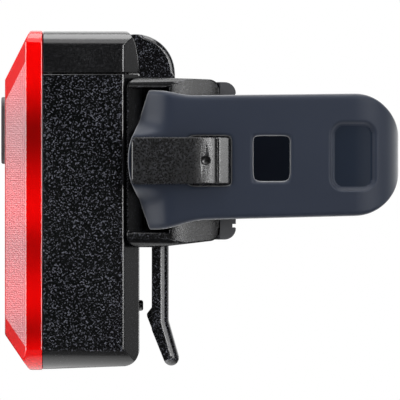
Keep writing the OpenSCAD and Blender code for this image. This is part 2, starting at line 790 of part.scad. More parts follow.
module housing() {
    color([0.05, 0.05, 0.055]) {
        difference() {
            union() {
                body_form(front_x, low_z, split_z);
                box([front_x, -plate_half_w, split_z - 1], [front_x + plate_t, plate_half_w, plate_top]);
            }
            box([front_x - 1, -board_room_half_w, floor_z], [bulk_x, board_room_half_w, board_top + 0.3]);
            difference() {
                box([cell_room_x0, -cell_room_half_w, floor_z],
                    [cell_room_x1, cell_room_half_w, split_z + 1]);
                both_sides() for (x = [cell_x - 3, cell_x + 2])
                    box([x, cell_y + cell_d / 2 + slide_gap, floor_z - 1],
                        [x + cell_rib_t, cell_room_half_w + 1, plug_z - 1]);
                for (y = [-screw_side, screw_side], z = [screw_low_z, screw_top_z])
                    translate([bulk_x, y, z]) rotate([0, 90, 0]) cylinder(h = bulkhead_t, d = 3);
            }
            along_x(front_x - 1, front_x + seal_d) difference() {
                seal_outline(0);
                seal_outline(seal_w);
            }
            for (y = [-screw_side, screw_side], z = [screw_low_z, screw_top_z])
                translate([board_x1 - 1, y, z]) rotate([0, 90, 0])
                    cylinder(h = bulk_x + screw_bite + 0.2 - board_x1 + 1, d = screw_d);
            for (y = [-cell_y, cell_y])
                box([bulk_x - 1, y - sheet_w / 4 - seat_gap, floor_z],
                    [cell_room_x0 + 1, y + sheet_w / 4 + seat_gap, floor_z + sheet_t + seat_gap]);
        }
        for (y = [-screw_side, screw_side], z = [screw_low_z, screw_top_z])
            translate([board_x1, y, z]) rotate([0, 90, 0]) difference() {
                cylinder(h = bulk_x - board_x1 + 0.2, d = screw_d + 2);
                translate([0, 0, -1]) cylinder(h = 4, d = screw_d);
            }
        translate([back_x - 0.2, 0, low_z + nub_up]) rotate([0, 90, 0])
            cylinder(h = nub_t + 0.2, d = nub_d);
    }
}

// Outline of the lens seal's ring, moved inwards by a width
module seal_outline(d) {
    front_outline(seal_half_w - d, low_z + seal_inset + d, plate_top - seal_edge - d,
        seal_r - d, seal_r - d);
}

module lens_seal() {
    color([0.1, 0.1, 0.1])
    along_x(front_x, front_x + seal_d - seat_gap) difference() {
        seal_outline(seat_gap);
        seal_outline(seal_w - seat_gap);
    }
}

module lens() {
    z0 = low_z - lens_proud;
    z1 = top_z + lens_proud;
    color([0.85, 0.02, 0.03])
    difference() {
        along_x(lens_x, front_x) front_outline(half_w, z0, z1, low_edge_r, top_edge_r);
        bevels(0);
        difference() {
            along_x(lens_in_x, front_x + 1) translate([-half_w + lens_wall, z0 + lens_low_rim])
                square([light_w - 2 * lens_wall, z1 - z0 - lens_low_rim - lens_top_rim]);
            bevels(lens_front_t * 0.9);
        }
        along_x(lens_x - 1, lens_in_x + 1) button_outline(dock_gap);
    }
}

// Outline of the button, grown by a width
module button_outline(g) {
    round_rect([-button_half_w - g, button_z - button_h / 2 - g],
        [button_half_w + g, button_z + button_h / 2 + g], button_r + g);
}

module push_button() {
    color([0.16, 0.16, 0.17]) {
        along_x(lens_x - button_proud, flange_x + flange_t) button_outline(0);
        along_x(flange_x, flange_x + flange_t) button_outline(button_flange);
        translate([flange_x, 0, button_z]) rotate([0, 90, 0])
            cylinder(h = stem_x - flange_x, d = stem_d);
    }
}

module button_boot() {
    color([0.12, 0.12, 0.12])
    along_x(boot_x, board_x0) difference() {
        button_outline(0.2);
        button_outline(0.2 - boot_wall);
    }
}

module switch_plunger() {
    color([0.1, 0.1, 0.1])
    translate([plunger_x, 0, button_z]) rotate([0, 90, 0])
        cylinder(h = plunger_len, d = plunger_d);
}

module tact_switch() {
    color([0.55, 0.55, 0.57])
    difference() {
        box([switch_x, -switch_side / 2, button_z - switch_side / 2],
            [board_x0, switch_side / 2, button_z + switch_side / 2]);
        translate([switch_x - 1, 0, button_z]) rotate([0, 90, 0])
            cylinder(h = 1 + plunger_len - plunger_out + button_travel + 0.05, d = plunger_d + 0.1);
    }
}

module reflex_insert() {
    color([0.9, 0.25, 0.28])
    difference() {
        box([insert_x, -insert_half_w, insert_z0], [board_x0, insert_half_w, insert_z1]);
        box([insert_x + insert_front_t, -insert_half_w + insert_wall, insert_z0 + insert_wall],
            [board_x0 + 1, insert_half_w - insert_wall, insert_z1 - insert_wall]);
        along_x(insert_x - 1, insert_x + insert_front_t + 1)
            button_outline(button_flange + slide_gap);
        box([insert_x - 1, -guide_half_w - dock_gap, guide_z0 - dock_gap],
            [insert_x + insert_front_t + 1, guide_half_w + dock_gap, guide_z1 + dock_gap]);
    }
}

module light_guide() {
    led_x = board_x0 - led_base_t - led_dome_d / 2;
    color([0.95, 0.9, 0.9])
    difference() {
        union() {
            box([insert_x, -guide_half_w, guide_z0], [board_x0, guide_half_w, guide_z1]);
            box([insert_x + insert_front_t + seat_gap, -guide_half_w - guide_step, guide_z0 - guide_step],
                [board_x0, guide_half_w + guide_step, guide_z1 + guide_step]);
        }
        box([led_x - 0.3, -led_base / 2 - 0.3, guide_z0 - guide_step - 1],
            [board_x0 + 1, led_base / 2 + 0.3, guide_z1 + guide_step + 1]);
    }
}

module leds() {
    mid = (guide_z0 + guide_z1) / 2;
    color([0.95, 0.85, 0.55])
    for (i = [0 : led_count - 1]) {
        z = mid + (i - (led_count - 1) / 2) * led_pitch;
        box([board_x0 - led_base_t, -led_base / 2, z - led_base / 2],
            [board_x0, led_base / 2, z + led_base / 2]);
        intersection() {
            translate([board_x0 - led_base_t, 0, z]) sphere(d = led_dome_d);
            box([-big, -big, -big], [board_x0 - led_base_t + 0.1, big, big]);
        }
    }
}

module circuit_board() {
    color([0.05, 0.3, 0.12])
    difference() {
        box([board_x0, -board_room_half_w + slide_gap, board_low],
            [board_x1, board_room_half_w - slide_gap, board_top]);
        for (y = [-screw_side, screw_side], z = [screw_low_z, screw_top_z])
            translate([board_x0 - 1, y, z]) rotate([0, 90, 0])
                cylinder(h = board_t + 2, d = screw_d + 0.2);
    }
}

module board_screws() {
    color([0.7, 0.7, 0.72])
    for (y = [-screw_side, screw_side], z = [screw_low_z, screw_top_z])
        translate([board_x0, y, z]) rotate([0, 90, 0]) {
            translate([0, 0, -screw_head_t]) difference() {
                cylinder(h = screw_head_t, d = screw_head_d);
                translate([-0.2, -screw_head_d, -0.1])
                    cube([0.4, 2 * screw_head_d, screw_head_t / 2]);
            }
            translate([0, 0, -0.1]) cylinder(h = bulk_x + screw_bite - board_x0 + 0.1, d = screw_d);
        }
}

// One cell, nub up, from its lower end
module cell() {
    cylinder(h = cell_l - cell_nub_t, d = cell_d);
    translate([0, 0, cell_l - cell_nub_t - 0.1]) cylinder(h = cell_nub_t + 0.1, d = cell_nub_d);
}

module battery_cells() {
    color([0.55, 0.5, 0.3]) {
        translate([cell_x, -cell_y, cell_low]) cell();
        translate([cell_x, cell_y, cell_top]) mirror([0, 0, 1]) cell();
    }
}

// Contact strip on the floor, from a cell to the board
module floor_strip(y) {
    box([board_x1, y - sheet_w / 4, floor_z], [cell_x, y + sheet_w / 4, floor_z + sheet_t]);
    box([cell_x - sheet_w / 2, y - sheet_w / 2, floor_z],
        [cell_x + sheet_w / 2, y + sheet_w / 2, floor_z + sheet_t]);
}

module contact_spring() {
    z0 = floor_z + sheet_t + spring_wire / 4;
    color([0.8, 0.8, 0.8]) {
        floor_strip(-cell_y);
        translate([cell_x, -cell_y, z0])
            coil(spring_r, spring_wire, spring_turns, cell_low - seat_gap - spring_wire / 2 - z0, 16);
    }
}

module contact_plate() {
    h = cell_low - seat_gap - floor_z;
    color([0.8, 0.8, 0.8]) {
        floor_strip(cell_y);
        for (s = [-1, 1])
            translate([cell_x + s * (sheet_w - sheet_t) / 2 - sheet_t / 2, cell_y - sheet_w / 4, floor_z])
                cube([sheet_t, sheet_w / 2, h]);
        translate([cell_x - sheet_w / 2, cell_y - sheet_w / 4, floor_z + h - sheet_t])
            cube([sheet_w, sheet_w / 2, sheet_t]);
    }
}

module cap_bridge() {
    color([0.8, 0.8, 0.8]) {
        box([cell_x - sheet_w / 2, -cell_y - sheet_w / 2, bridge_z],
            [cell_x + sheet_w / 2, cell_y + sheet_w / 2, plug_z]);
        for (y = [-cell_y, cell_y])
            translate([cell_x, y, bridge_z - sheet_t]) cylinder(h = sheet_t + 0.1, d = cell_nub_d);
    }
}

// Plan of the cap's plug, moved inwards by a depth
module plug_plan(d) {
    translate([cell_room_x0 + d, -cell_room_half_w + d])
        square([cell_room_x1 - cell_room_x0 - 2 * d, 2 * (cell_room_half_w - d)]);
}

module top_cap() {
    groove_z = plug_z + (plug_t - cap_seal_h) / 2;
    hood_x = slot_rear - hood_wall;
    hood_cx = clip_x1 + 1.15 - hood_r;
    hood_cz = hood_z + 0.8;
    color([0.04, 0.04, 0.045]) {
        difference() {
            union() {
                body_form(front_x + dock_gap, cap_z, top_z);
                along_y(-hood_half_w, hood_half_w) intersection() {
                    union() {
                        translate([hood_cx, hood_cz]) circle(hood_r, $fn = 96);
                        translate([hood_cx, hood_z]) square([hood_r, hood_cz - hood_z]);
                    }
                    translate([back_x - cap_back_round - 0.6, hood_z]) square([20, 20]);
                }
            }
            box([front_x - 1, -half_w + cap_wall, cap_z - 1],
                [cell_room_x1, half_w - cap_wall, top_z - cap_wall]);
            box([-big, -big, -big], [back_x + dock_gap / 2, big, cap_z]);
            difference() {
                union() {
                    along_y(-slot_half_w, slot_half_w) {
                        translate([pivot_x, pivot_z]) circle(knuckle_r + slide_gap);
                        translate([pivot_x - knuckle_r - slide_gap, hood_z - 1])
                            square([clip_x + clip_thin + clip_side_gap - pivot_x + knuckle_r + slide_gap,
                                pivot_up + 1]);
                    }
                }
                box([-big, -big, -big], [back_x, big, big]);
            }
            translate([pivot_x, -hood_half_w + 0.9, pivot_z]) rotate([-90, 0, 0])
                cylinder(h = 2 * hood_half_w, d = pin_d);
        }
        difference() {
            along_z(plug_z, plug_z + plug_t) plug_plan(slide_gap);
            along_z(groove_z, groove_z + cap_seal_h) difference() {
                plug_plan(0);
                plug_plan(slide_gap + cap_groove);
            }
        }
        both_sides() intersection() {
            along_z(plug_z + plug_t - 0.1, top_z - cap_wall + 0.1) plug_plan(slide_gap);
            box([-big, cell_room_half_w - slide_gap - cap_wall, -big], [big, big, big]);
        }
    }
}

module cap_seal() {
    groove_z = plug_z + (plug_t - cap_seal_h) / 2;
    color([0.12, 0.12, 0.12])
    along_z(groove_z, groove_z + cap_seal_h) difference() {
        plug_plan(seat_gap);
        plug_plan(slide_gap + cap_groove);
    }
}

// Side outline of the clip's tongue and tail
module clip_outline() {
    polygon([[clip_x, pivot_z], [clip_x, bend_z - 1.4],
        [tail_x - tail_r * 0.94, tail_z - tail_r * 0.35],
        [tail_x + tail_r * 0.94, tail_z + tail_r * 0.35],
        [clip_x1 + 0.5, bend_z - 1.6], [clip_x1, bend_z + 0.2],
        [clip_x1, -bracket_down + 0.3], [clip_x + clip_thin, -bracket_down + 3.3],
        [clip_x + clip_thin, pivot_z - 1], [pivot_x + 1, pivot_z + 0.6]]);
    translate([tail_x, tail_z]) circle(tail_r);
}

module belt_clip() {
    tip_z = tooth_z - tooth_drop;
    color([0.05, 0.05, 0.055])
    difference() {
        union() {
            along_y(-clip_half_w, clip_half_w) {
                clip_outline();
                translate([pivot_x, pivot_z]) circle(knuckle_r);
            }
            along_y(-tooth_half_w, tooth_half_w)
                polygon([[clip_x + 0.2, tooth_z], [clip_x, tooth_z],
                    [clip_x - tooth_t, tip_z], [clip_x - tooth_t + 0.05, tip_z - 0.5],
                    [tail_x - tail_r * 0.94, tail_z - tail_r * 0.35], [clip_x + 1, bend_z]]);
        }
        translate([pivot_x, 0, pivot_z]) rotate([90, 0, 0])
            cylinder(h = big, d = pin_d + 2 * pin_gap, center = true);
        box([-big, -spring_gap, pivot_z - knuckle_r - 0.6], [big, spring_gap, big]);
    }
}

module clip_pin() {
    color([0.75, 0.75, 0.77])
    translate([pivot_x, -hood_half_w + 0.9, pivot_z]) rotate([-90, 0, 0])
        cylinder(h = 2 * hood_half_w - 1.1, d = pin_d);
}

module clip_spring() {
    r = pin_d / 2 + 0.12 + torsion_wire / 2;
    h = 2 * spring_gap - torsion_wire - 0.4;
    color([0.7, 0.7, 0.7])
    translate([pivot_x, h / 2, pivot_z]) rotate([90, 0, 0])
        coil(r, torsion_wire, 3, h, 16);
}

bracket();
seat_pad();
strap();
housing();
lens();
lens_seal();
reflex_insert();
light_guide();
leds();
circuit_board();
tact_switch();
switch_plunger();
button_boot();
push_button();
board_screws();
battery_cells();
contact_spring();
contact_plate();
cap_bridge();
top_cap();
cap_seal();
belt_clip();
clip_pin();
clip_spring();
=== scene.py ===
# Bike rear light docked on a strap bracket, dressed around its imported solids.
# Metres. The post's axis is Z through the origin, the lens faces -X, the camera looks along +Y.
import math

import bmesh
import bpy
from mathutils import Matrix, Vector
from mathutils.bvhtree import BVHTree


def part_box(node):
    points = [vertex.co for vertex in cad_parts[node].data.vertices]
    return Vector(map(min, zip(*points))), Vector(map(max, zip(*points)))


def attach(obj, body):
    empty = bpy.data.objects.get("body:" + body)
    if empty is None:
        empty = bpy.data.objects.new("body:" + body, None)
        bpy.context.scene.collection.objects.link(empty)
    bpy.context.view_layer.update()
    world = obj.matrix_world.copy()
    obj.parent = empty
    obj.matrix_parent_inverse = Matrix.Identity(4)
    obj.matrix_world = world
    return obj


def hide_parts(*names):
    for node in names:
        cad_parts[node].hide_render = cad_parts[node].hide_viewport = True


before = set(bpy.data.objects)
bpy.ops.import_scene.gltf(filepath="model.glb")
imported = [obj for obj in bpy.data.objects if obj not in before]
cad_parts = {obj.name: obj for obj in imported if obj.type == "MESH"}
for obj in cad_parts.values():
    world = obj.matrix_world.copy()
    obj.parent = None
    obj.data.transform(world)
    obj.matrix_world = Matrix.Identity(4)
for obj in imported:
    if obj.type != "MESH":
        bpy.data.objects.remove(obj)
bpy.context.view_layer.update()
scene = bpy.context.scene
scene.view_settings.view_transform = "Standard"


# STUDIO
# A white studio with a dark room behind the camera: three soft boxes above, a strip light and a soft box
# at the front right, one at the left, a pale floor with a painted glow under the housing that only
# reflections see, and a long lens that looks at the side.
MM = 0.001
side_plane = -16 * MM
view_width = 73.0 * MM
view_middle = (-15.25 * MM, -7.16 * MM)
camera_distance = 1.5
sensor_w = 36
camera_data = bpy.data.cameras.new("side_camera")
camera_data.sensor_width = sensor_w
camera_data.lens = sensor_w * (camera_distance + side_plane) / view_width
camera_data.clip_start = 0.05
camera_data.clip_end = 20
camera = bpy.data.objects.new("side_camera", camera_data)
camera.location = (view_middle[0], -camera_distance, view_middle[1])
camera.rotation_euler = (math.radians(90), 0, 0)
scene.collection.objects.link(camera)
scene.camera = camera
lit_middle = Vector((-15 * MM, 0, 0))


def softbox(name, turn, tilt, distance, width, height, radiance):
    """A soft box that faces the light, turned from the camera to the right and tilted up."""
    lamp = bpy.data.lights.new(name, "AREA")
    lamp.shape = "RECTANGLE"
    lamp.size = width
    lamp.size_y = height
    lamp.energy = radiance * math.pi * width * height
    box = bpy.data.objects.new(name, lamp)
    flat = distance * math.cos(math.radians(tilt))
    away = Vector(
        (
            flat * math.sin(math.radians(turn)),
            -flat * math.cos(math.radians(turn)),
            distance * math.sin(math.radians(tilt)),
        )
    )
    box.location = lit_middle + away
    box.rotation_euler = (-away).to_track_quat("-Z", "Y").to_euler()
    scene.collection.objects.link(box)


softbox("top_box", turn=0, tilt=80, distance=0.5, width=0.5, height=0.46, radiance=5.0)
softbox("front_top_box", turn=0, tilt=38, distance=0.6, width=0.5, height=0.34, radiance=1.6)
softbox("rear_top_box", turn=0, tilt=130, distance=0.6, width=0.5, height=0.4, radiance=1.6)
softbox("right_box", turn=45, tilt=6, distance=0.6, width=0.46, height=0.6, radiance=3.6)
softbox("right_strip", turn=24, tilt=6, distance=0.6, width=0.04, height=0.5, radiance=16.0)
softbox("left_box", turn=-78, tilt=4, distance=0.62, width=0.5, height=0.7, radiance=4.9)


def ranged(tree, value, start, end, low=0.0, high=1.0):
    """A value taken from one range to another and held at its ends."""
    span = tree.nodes.new("ShaderNodeMapRange")
    span.inputs["From Min"].default_value = start
    span.inputs["From Max"].default_value = end
    span.inputs["To Min"].default_value = low
    span.inputs["To Max"].default_value = high
    tree.links.new(value, span.inputs["Value"])
    return span.outputs["Result"]


room_fill = 0.06
wall_start = 0.2
wall_full = 0.95
wall_dark = 0.01
world = bpy.data.worlds.new("white_studio")
scene.world = world
world.use_nodes = True
sky = world.node_tree.nodes
sky_links = world.node_tree.links
ray = sky.new("ShaderNodeLightPath")
heading = sky.new("ShaderNodeTexCoord")
split = sky.new("ShaderNodeSeparateXYZ")
sky_links.new(heading.outputs["Generated"], split.inputs[0])
wall = ranged(world.node_tree, split.outputs["Y"], wall_start, wall_full, low=wall_dark)
mirrored = sky.new("ShaderNodeMix")
mirrored.inputs[2].default_value = room_fill
sky_links.new(ray.outputs["Is Glossy Ray"], mirrored.inputs[0])
sky_links.new(wall, mirrored.inputs[3])
seen = sky.new("ShaderNodeMath")
seen.operation = "MAXIMUM"
sky_links.new(ray.outputs["Is Camera Ray"], seen.inputs[0])
sky_links.new(ray.outputs["Is Transmission Ray"], seen.inputs[1])
level = sky.new("ShaderNodeMath")
level.operation = "MAXIMUM"
sky_links.new(seen.outputs[0], level.inputs[0])
sky_links.new(mirrored.outputs[0], level.inputs[1])
sky["Background"].inputs["Color"].default_value = (1, 1, 1, 1)
sky_links.new(level.outputs[0], sky["Background"].inputs["Strength"])

floor_z = -63 * MM
floor_half = 0.6
glow_spot = (-37 * MM, 0, floor_z)
glow_near = 5 * MM
glow_far = 60 * MM
glow_bright = 2.1
glow_dim = 0.15
fade_near = 0.08
fade_far = 0.3
floor_mesh = bpy.data.meshes.new("pale_floor")
floor_mesh.from_pydata(
    [
        (-floor_half, -floor_half, floor_z),
        (floor_half, -floor_half, floor_z),
        (floor_half, floor_half, floor_z),
        (-floor_half, floor_half, floor_z),
    ],
    [],
    [(0, 1, 2, 3)],
)
floor = bpy.data.objects.new("pale_floor", floor_mesh)
scene.collection.objects.link(floor)
floor_finish = bpy.data.materials.new("pale_paper")
floor_finish.use_nodes = True
floor_nodes = floor_finish.node_tree.nodes
floor_links = floor_finish.node_tree.links
floor_paper = floor_nodes["Principled BSDF"]
floor_paper.inputs["Base Color"].default_value = (0.82, 0.82, 0.82, 1)
floor_paper.inputs["Roughness"].default_value = 0.9
floor_ray = floor_nodes.new("ShaderNodeLightPath")
floor_white = floor_nodes.new("ShaderNodeEmission")
floor_place = floor_nodes.new("ShaderNodeTexCoord")
floor_reach = floor_nodes.new("ShaderNodeVectorMath")
floor_reach.operation = "DISTANCE"
floor_reach.inputs[1].default_value = glow_spot
floor_links.new(floor_place.outputs["Object"], floor_reach.inputs[0])
# Painted reflection: seen in reflections, the floor glows brighter than white in a spot under the
# housing and dims away from it, so the light's bottom edges reflect a bright band.
painted_floor_glow = ranged(
    floor_finish.node_tree, floor_reach.outputs["Value"], glow_near, glow_far, glow_bright, glow_dim
)
floor_level = floor_nodes.new("ShaderNodeMix")
floor_level.inputs[2].default_value = 1.0
floor_links.new(floor_ray.outputs["Is Glossy Ray"], floor_level.inputs[0])
floor_links.new(painted_floor_glow, floor_level.inputs[3])
floor_links.new(floor_level.outputs[0], floor_white.inputs["Strength"])
floor_fade = ranged(floor_finish.node_tree, floor_reach.outputs["Value"], fade_near, fade_far)
floor_seen = floor_nodes.new("ShaderNodeMath")
floor_seen.operation = "MULTIPLY_ADD"
floor_links.new(floor_fade, floor_seen.inputs[0])
floor_links.new(floor_ray.outputs["Is Camera Ray"], floor_seen.inputs[1])
floor_links.new(floor_ray.outputs["Is Glossy Ray"], floor_seen.inputs[2])
floor_mix = floor_nodes.new("ShaderNodeMixShader")
floor_links.new(floor_seen.outputs[0], floor_mix.inputs[0])
floor_links.new(floor_paper.outputs[0], floor_mix.inputs[1])
floor_links.new(floor_white.outputs[0], floor_mix.inputs[2])
floor_links.new(floor_mix.outputs[0], floor_nodes["Material Output"].inputs["Surface"])
floor_mesh.materials.append(floor_finish)


# SEAT PAD
# Dark rubber pad with grip grooves that sits against the seatpost. It is moulded in one piece
# and pressed into the hollow rear of the bracket.
patch_scale = 40
fine_share = 0.6
glint_start = 0.55
glint_full = 0.72
rough_swing = 0.06
bloom_rough = 0.45


def colour_mix(tree, factor, first, second):
    """A colour between two others."""
    mix = tree.nodes.new("ShaderNodeMix")
    mix.data_type = "RGBA"
    mix.inputs[6].default_value = (*first, 1)
    mix.inputs[7].default_value = (*second, 1)
    tree.links.new(factor, mix.inputs[0])
    return mix


def moulded_finish(
    name, colour, rough, grain, depth, spread=0.15, gloss=0.5, metal=0.0, painted_glint=None, bloom=0.0
):
    """Moulded surface: fine grain in the relief, uneven patches in the colour, and light flecks in the
    colour that are painted glints.
    """
    finish = bpy.data.materials.new(name)
    finish.use_nodes = True
    tree = finish.node_tree
    nodes = tree.nodes
    links = tree.links
    shell = nodes["Principled BSDF"]
    shell.inputs["Metallic"].default_value = metal
    shell.inputs["Specular IOR Level"].default_value = gloss
    shell.inputs["Sheen Weight"].default_value = bloom
    shell.inputs["Sheen Roughness"].default_value = bloom_rough
    place = nodes.new("ShaderNodeTexCoord")
    fine = nodes.new("ShaderNodeTexNoise")
    fine.inputs["Scale"].default_value = 1 / grain
    fine.inputs["Detail"].default_value = 2
    fine.inputs["Roughness"].default_value = 0.55
    links.new(place.outputs["Object"], fine.inputs["Vector"])
    broad = nodes.new("ShaderNodeTexNoise")
    broad.inputs["Scale"].default_value = 1 / (patch_scale * grain)
    broad.inputs["Detail"].default_value = 2
    links.new(place.outputs["Object"], broad.inputs["Vector"])
    both = nodes.new("ShaderNodeMath")
    both.operation = "MULTIPLY_ADD"
    both.inputs[1].default_value = fine_share
    links.new(fine.outputs["Fac"], both.inputs[0])
    patch = nodes.new("ShaderNodeMath")
    patch.operation = "MULTIPLY"
    patch.inputs[1].default_value = 1 - fine_share
    links.new(broad.outputs["Fac"], patch.inputs[0])
    links.new(patch.outputs[0], both.inputs[2])
    dark = [c * (1 - 2 * spread) for c in colour]
    light = [min(c * (1 + 2 * spread), 1) for c in colour]
    colour_out = colour_mix(tree, both.outputs[0], dark, light).outputs[2]
    # Painted glints: where the fine grain peaks, the colour turns a lighter grey, standing in for glints
    # off the textured skin.
    if painted_glint:
        glint_spots = ranged(tree, fine.outputs["Fac"], glint_start, glint_full)
        glinted = colour_mix(tree, glint_spots, colour, painted_glint)
        links.new(colour_out, glinted.inputs[6])
        colour_out = glinted.outputs[2]
    links.new(colour_out, shell.inputs["Base Color"])
    smoothest = max(rough - rough_swing, 0.02)
    roughest = min(rough + rough_swing, 1)
    polish = ranged(tree, both.outputs[0], 0.3, 0.7, smoothest, roughest)
    links.new(polish, shell.inputs["Roughness"])
    relief = nodes.new("ShaderNodeBump")
    relief.inputs["Strength"].default_value = 1
    relief.inputs["Distance"].default_value = depth
    links.new(fine.outputs["Fac"], relief.inputs["Height"])
    links.new(relief.outputs["Normal"], shell.inputs["Normal"])
    return finish


corner_turn = math.radians(32)
flat_turn = math.radians(0.6)
reshaped_flat_turn = math.radians(1.5)
sliver_w = 0.02 * MM
weld_gap = 0.002 * MM
speck = 0.03 * MM
wide_steps = 6


def is_sliver(face):
    """Whether a face is too thin for its direction to mean anything."""
    return face.calc_area() < sliver_w * max(e.calc_length() for e in face.edges)


def sharp_edges(bm):
    """Edges whose two faces turn by more than the corner angle."""
    return [
        e
        for e in bm.edges
        if len(e.link_faces) == 2
        and e.calc_face_angle() > corner_turn
        and not any(is_sliver(f) for f in e.link_faces)
    ]


def round_edges(bm, edges, radius, steps, clamp=False):
    """Rounds the given edges, and draws back any corner that the rounding throws off the surface."""
    surface = BVHTree.FromBMesh(bm)
    bmesh.ops.bevel(
        bm,
        geom=edges,
        offset=radius,
        offset_type="OFFSET",
        segments=steps,
        profile=0.5,
        affect="EDGES",
        clamp_overlap=clamp,
    )
    thrown = 0.75 * radius
    for v in bm.verts:
        near, _, _, off = surface.find_nearest(v.co)
        if off > thrown:
            v.co = near


def merge_flats(bm, turn):
    """Joins the faces that turn by less than a small angle."""
    bmesh.ops.dissolve_limit(bm, angle_limit=turn, verts=bm.verts[:], edges=bm.edges[:])


def split_along(bm, spot, facing):
    """Draws an edge along a plane, and keeps what lies on either side."""
    everything = bm.verts[:] + bm.edges[:] + bm.faces[:]
    bmesh.ops.bisect_plane(bm, geom=everything, plane_co=spot, plane_no=facing)


def applied(piece, modifier):
    """Makes what a modifier does to a piece its own mesh."""
    graph = bpy.context.evaluated_depsgraph_get()
    mesh = bpy.data.meshes.new_from_object(piece.evaluated_get(graph))
    piece.modifiers.remove(modifier)
    piece.data = mesh
    return mesh


def rounded_copy(node, edge_r, steps=2, clamp=False, wide=(), reshape=None, reshape_x=0.0, cuts=()):
    """A node's solid as a welded mesh with its sharp edges rounded, some of them wider."""
    bm = bmesh.new()
    bm.from_mesh(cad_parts[node].data)
    bmesh.ops.remove_doubles(bm, verts=bm.verts[:], dist=weld_gap)
    bmesh.ops.dissolve_degenerate(bm, edges=bm.edges[:], dist=speck)
    merge_flats(bm, flat_turn)
    if reshape:
        split_along(bm, (reshape_x * MM, 0, 0), (1, 0, 0))
        for v in bm.verts:
            v.co = reshape(v.co / MM) * MM
        merge_flats(bm, reshaped_flat_turn)
    for wide_r, is_wide in wide:
        picked = [e for e in sharp_edges(bm) if is_wide(*[v.co / MM for v in e.verts])]
        round_edges(bm, picked, wide_r, wide_steps)
    round_edges(bm, sharp_edges(bm), edge_r, steps, clamp)
    for spot, inward in cuts:
        split_along(bm, spot, inward)
    bmesh.ops.recalc_face_normals(bm, faces=bm.faces[:])
    for f in bm.faces:
        f.smooth = True
    mesh = bpy.data.meshes.new(node + "_skin")
    bm.to_mesh(mesh)
    bm.free()
    mesh.materials.clear()
    mesh.set_sharp_from_angle(angle=corner_turn)
    piece = bpy.data.objects.new(node + "_skin", mesh)
    scene.collection.objects.link(piece)
    even = piece.modifiers.new("even_shading", "WEIGHTED_NORMAL")
    even.keep_sharp = True
    applied(piece, even)
    return piece


def settle(piece, body, slot, node, *finishes):
    """Gives a piece its finishes and puts it on its body in place of its node."""
    for finish in finishes:
        piece.data.materials.append(finish)
    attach(piece, body)
    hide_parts(node)


pad_rubber = moulded_finish("pad_rubber", (0.04, 0.041, 0.046), 0.45, 0.25 * MM, 0.012 * MM)
seat_pad = rounded_copy("seat_pad", 0.12 * MM, clamp=True)
settle(seat_pad, "mount_set", "pad_rubber", "seat_pad", pad_rubber)


# BRACKET
# Black glass-filled plastic block with the strap hooks, moulded with a spark-textured skin that is
# shinier on the hooks. The walls of the side pockets get a dull copy with dim glints as painted shade,
# for the shadow that the strap and hooks cast in them. The housing slides into its front, and the clip
# drops into its slot.
deep_black = (0.001, 0.0011, 0.0014)
black_grain = 0.3 * MM
dull_black = moulded_finish(
    "dull_black", deep_black, 0.28, black_grain, 0.015 * MM, gloss=0.45, painted_glint=(0.045, 0.046, 0.056)
)
hook_black = moulded_finish(
    "hook_black", deep_black, 0.28, black_grain, 0.018 * MM, gloss=0.85, painted_glint=(0.03, 0.031, 0.038)
)
# Painted shade: a dull, dim copy of the black for the pocket walls, where the strap and hooks shade
# them.
pocket_shade = moulded_finish(
    "pocket_shade", deep_black, 0.6, black_grain, 0.015 * MM, gloss=0.08, painted_glint=(0.012, 0.0123, 0.015)
)
hook_y = 19.8
hook_face_y = 21.9
hook_end_x = -27.6
hook_corner_z = 4.1
pocket_low = (-28.4, 12.5, -15)
pocket_high = (-20.85, 16.95, 14.4)
wall_facing = 0.2


def on_hook_corner(a, b):
    """Whether an edge is one of the hook's two free corners."""
    return all(abs(p.y) > hook_y and p.x < hook_end_x and abs(p.z) > hook_corner_z for p in (a, b))


def on_hook_end(a, b):
    """Whether an edge is the outer one of the hook's free end."""
    return all(abs(p.y) > hook_face_y and p.x < hook_end_x for p in (a, b))


def in_pocket(spot, facing):
    """Whether a face is a wall of the pocket that takes the strap's wing."""
    x, y, z = spot / MM
    within_box = all(a < p < b for a, p, b in zip(pocket_low, (x, abs(y), z), pocket_high))
    return within_box and facing.y * math.copysign(1, y) > wall_facing


bracket = rounded_copy(
    "bracket", 0.3 * MM, wide=[(0.9 * MM, on_hook_corner), (0.5 * MM, on_hook_end)]
)
for f in bracket.data.polygons:
    f.material_index = 1 if abs(f.center.y) > hook_y * MM else 0
    # Painted shade on the walls of the side pockets.
    if in_pocket(f.center, f.normal):
        f.material_index = 2
settle(
    bracket, "mount_set", "black_texture", "bracket", dull_black, hook_black, pocket_shade
)


# STRAP
# Blue-grey silicone strap, one closed loop with a hook hole at each end. It is moulded soft-edged,
# and its ends have wings that bend into the bracket's side pockets around the hooks.
strap_t = 2.4
leg_y = 18.5
wing_x = -21.75
bend_x = 13.58
bend_r = 6.3
bend_steps = 6
end_r = 7.5
across_y = (-8.0, -4.0, 0.0, 4.0, 8.0)
strap_rows = [
    -11.0, -9.8, -8.0, -6.5, -5.2, -4.53, -3.69, -1.4, 1.2, 3.2, 4.5, 5.1, 6.6, 8.6, 10.6, 11.9
]
tip_line = [
    (-12.8, -23.7), (-12.1, -24.1), (-9.5, -25.05), (-7.0, -26.3), (-5.5, -27.1), (-4.3, -27.75),
    (-3.0, -28.15), (-1.5, -28.42), (0.0, -28.5), (1.5, -28.42), (3.0, -28.15), (4.3, -27.75),
    (5.5, -27.05), (7.0, -26.45), (9.5, -25.5), (11.9, -24.7), (13.0, -24.2),
]
tip_steps = [0.0, 0.07, 0.18, 0.32, 0.47, 0.62, 0.8]
tip_end = -18.9
leg_x = [
    -18.9, -17.95, -17.38, -15.5, -13.5, -11.5, -9.62, -9.0, -7.6, -6.1, -5.5, -3.6, -1.0, 1.1,
    1.7, 3.4, 5.4, 7.2, 8.6, 10.0, 11.4, 12.6, 13.58,
]
lip_h = 1.0
lip_half = 4.6
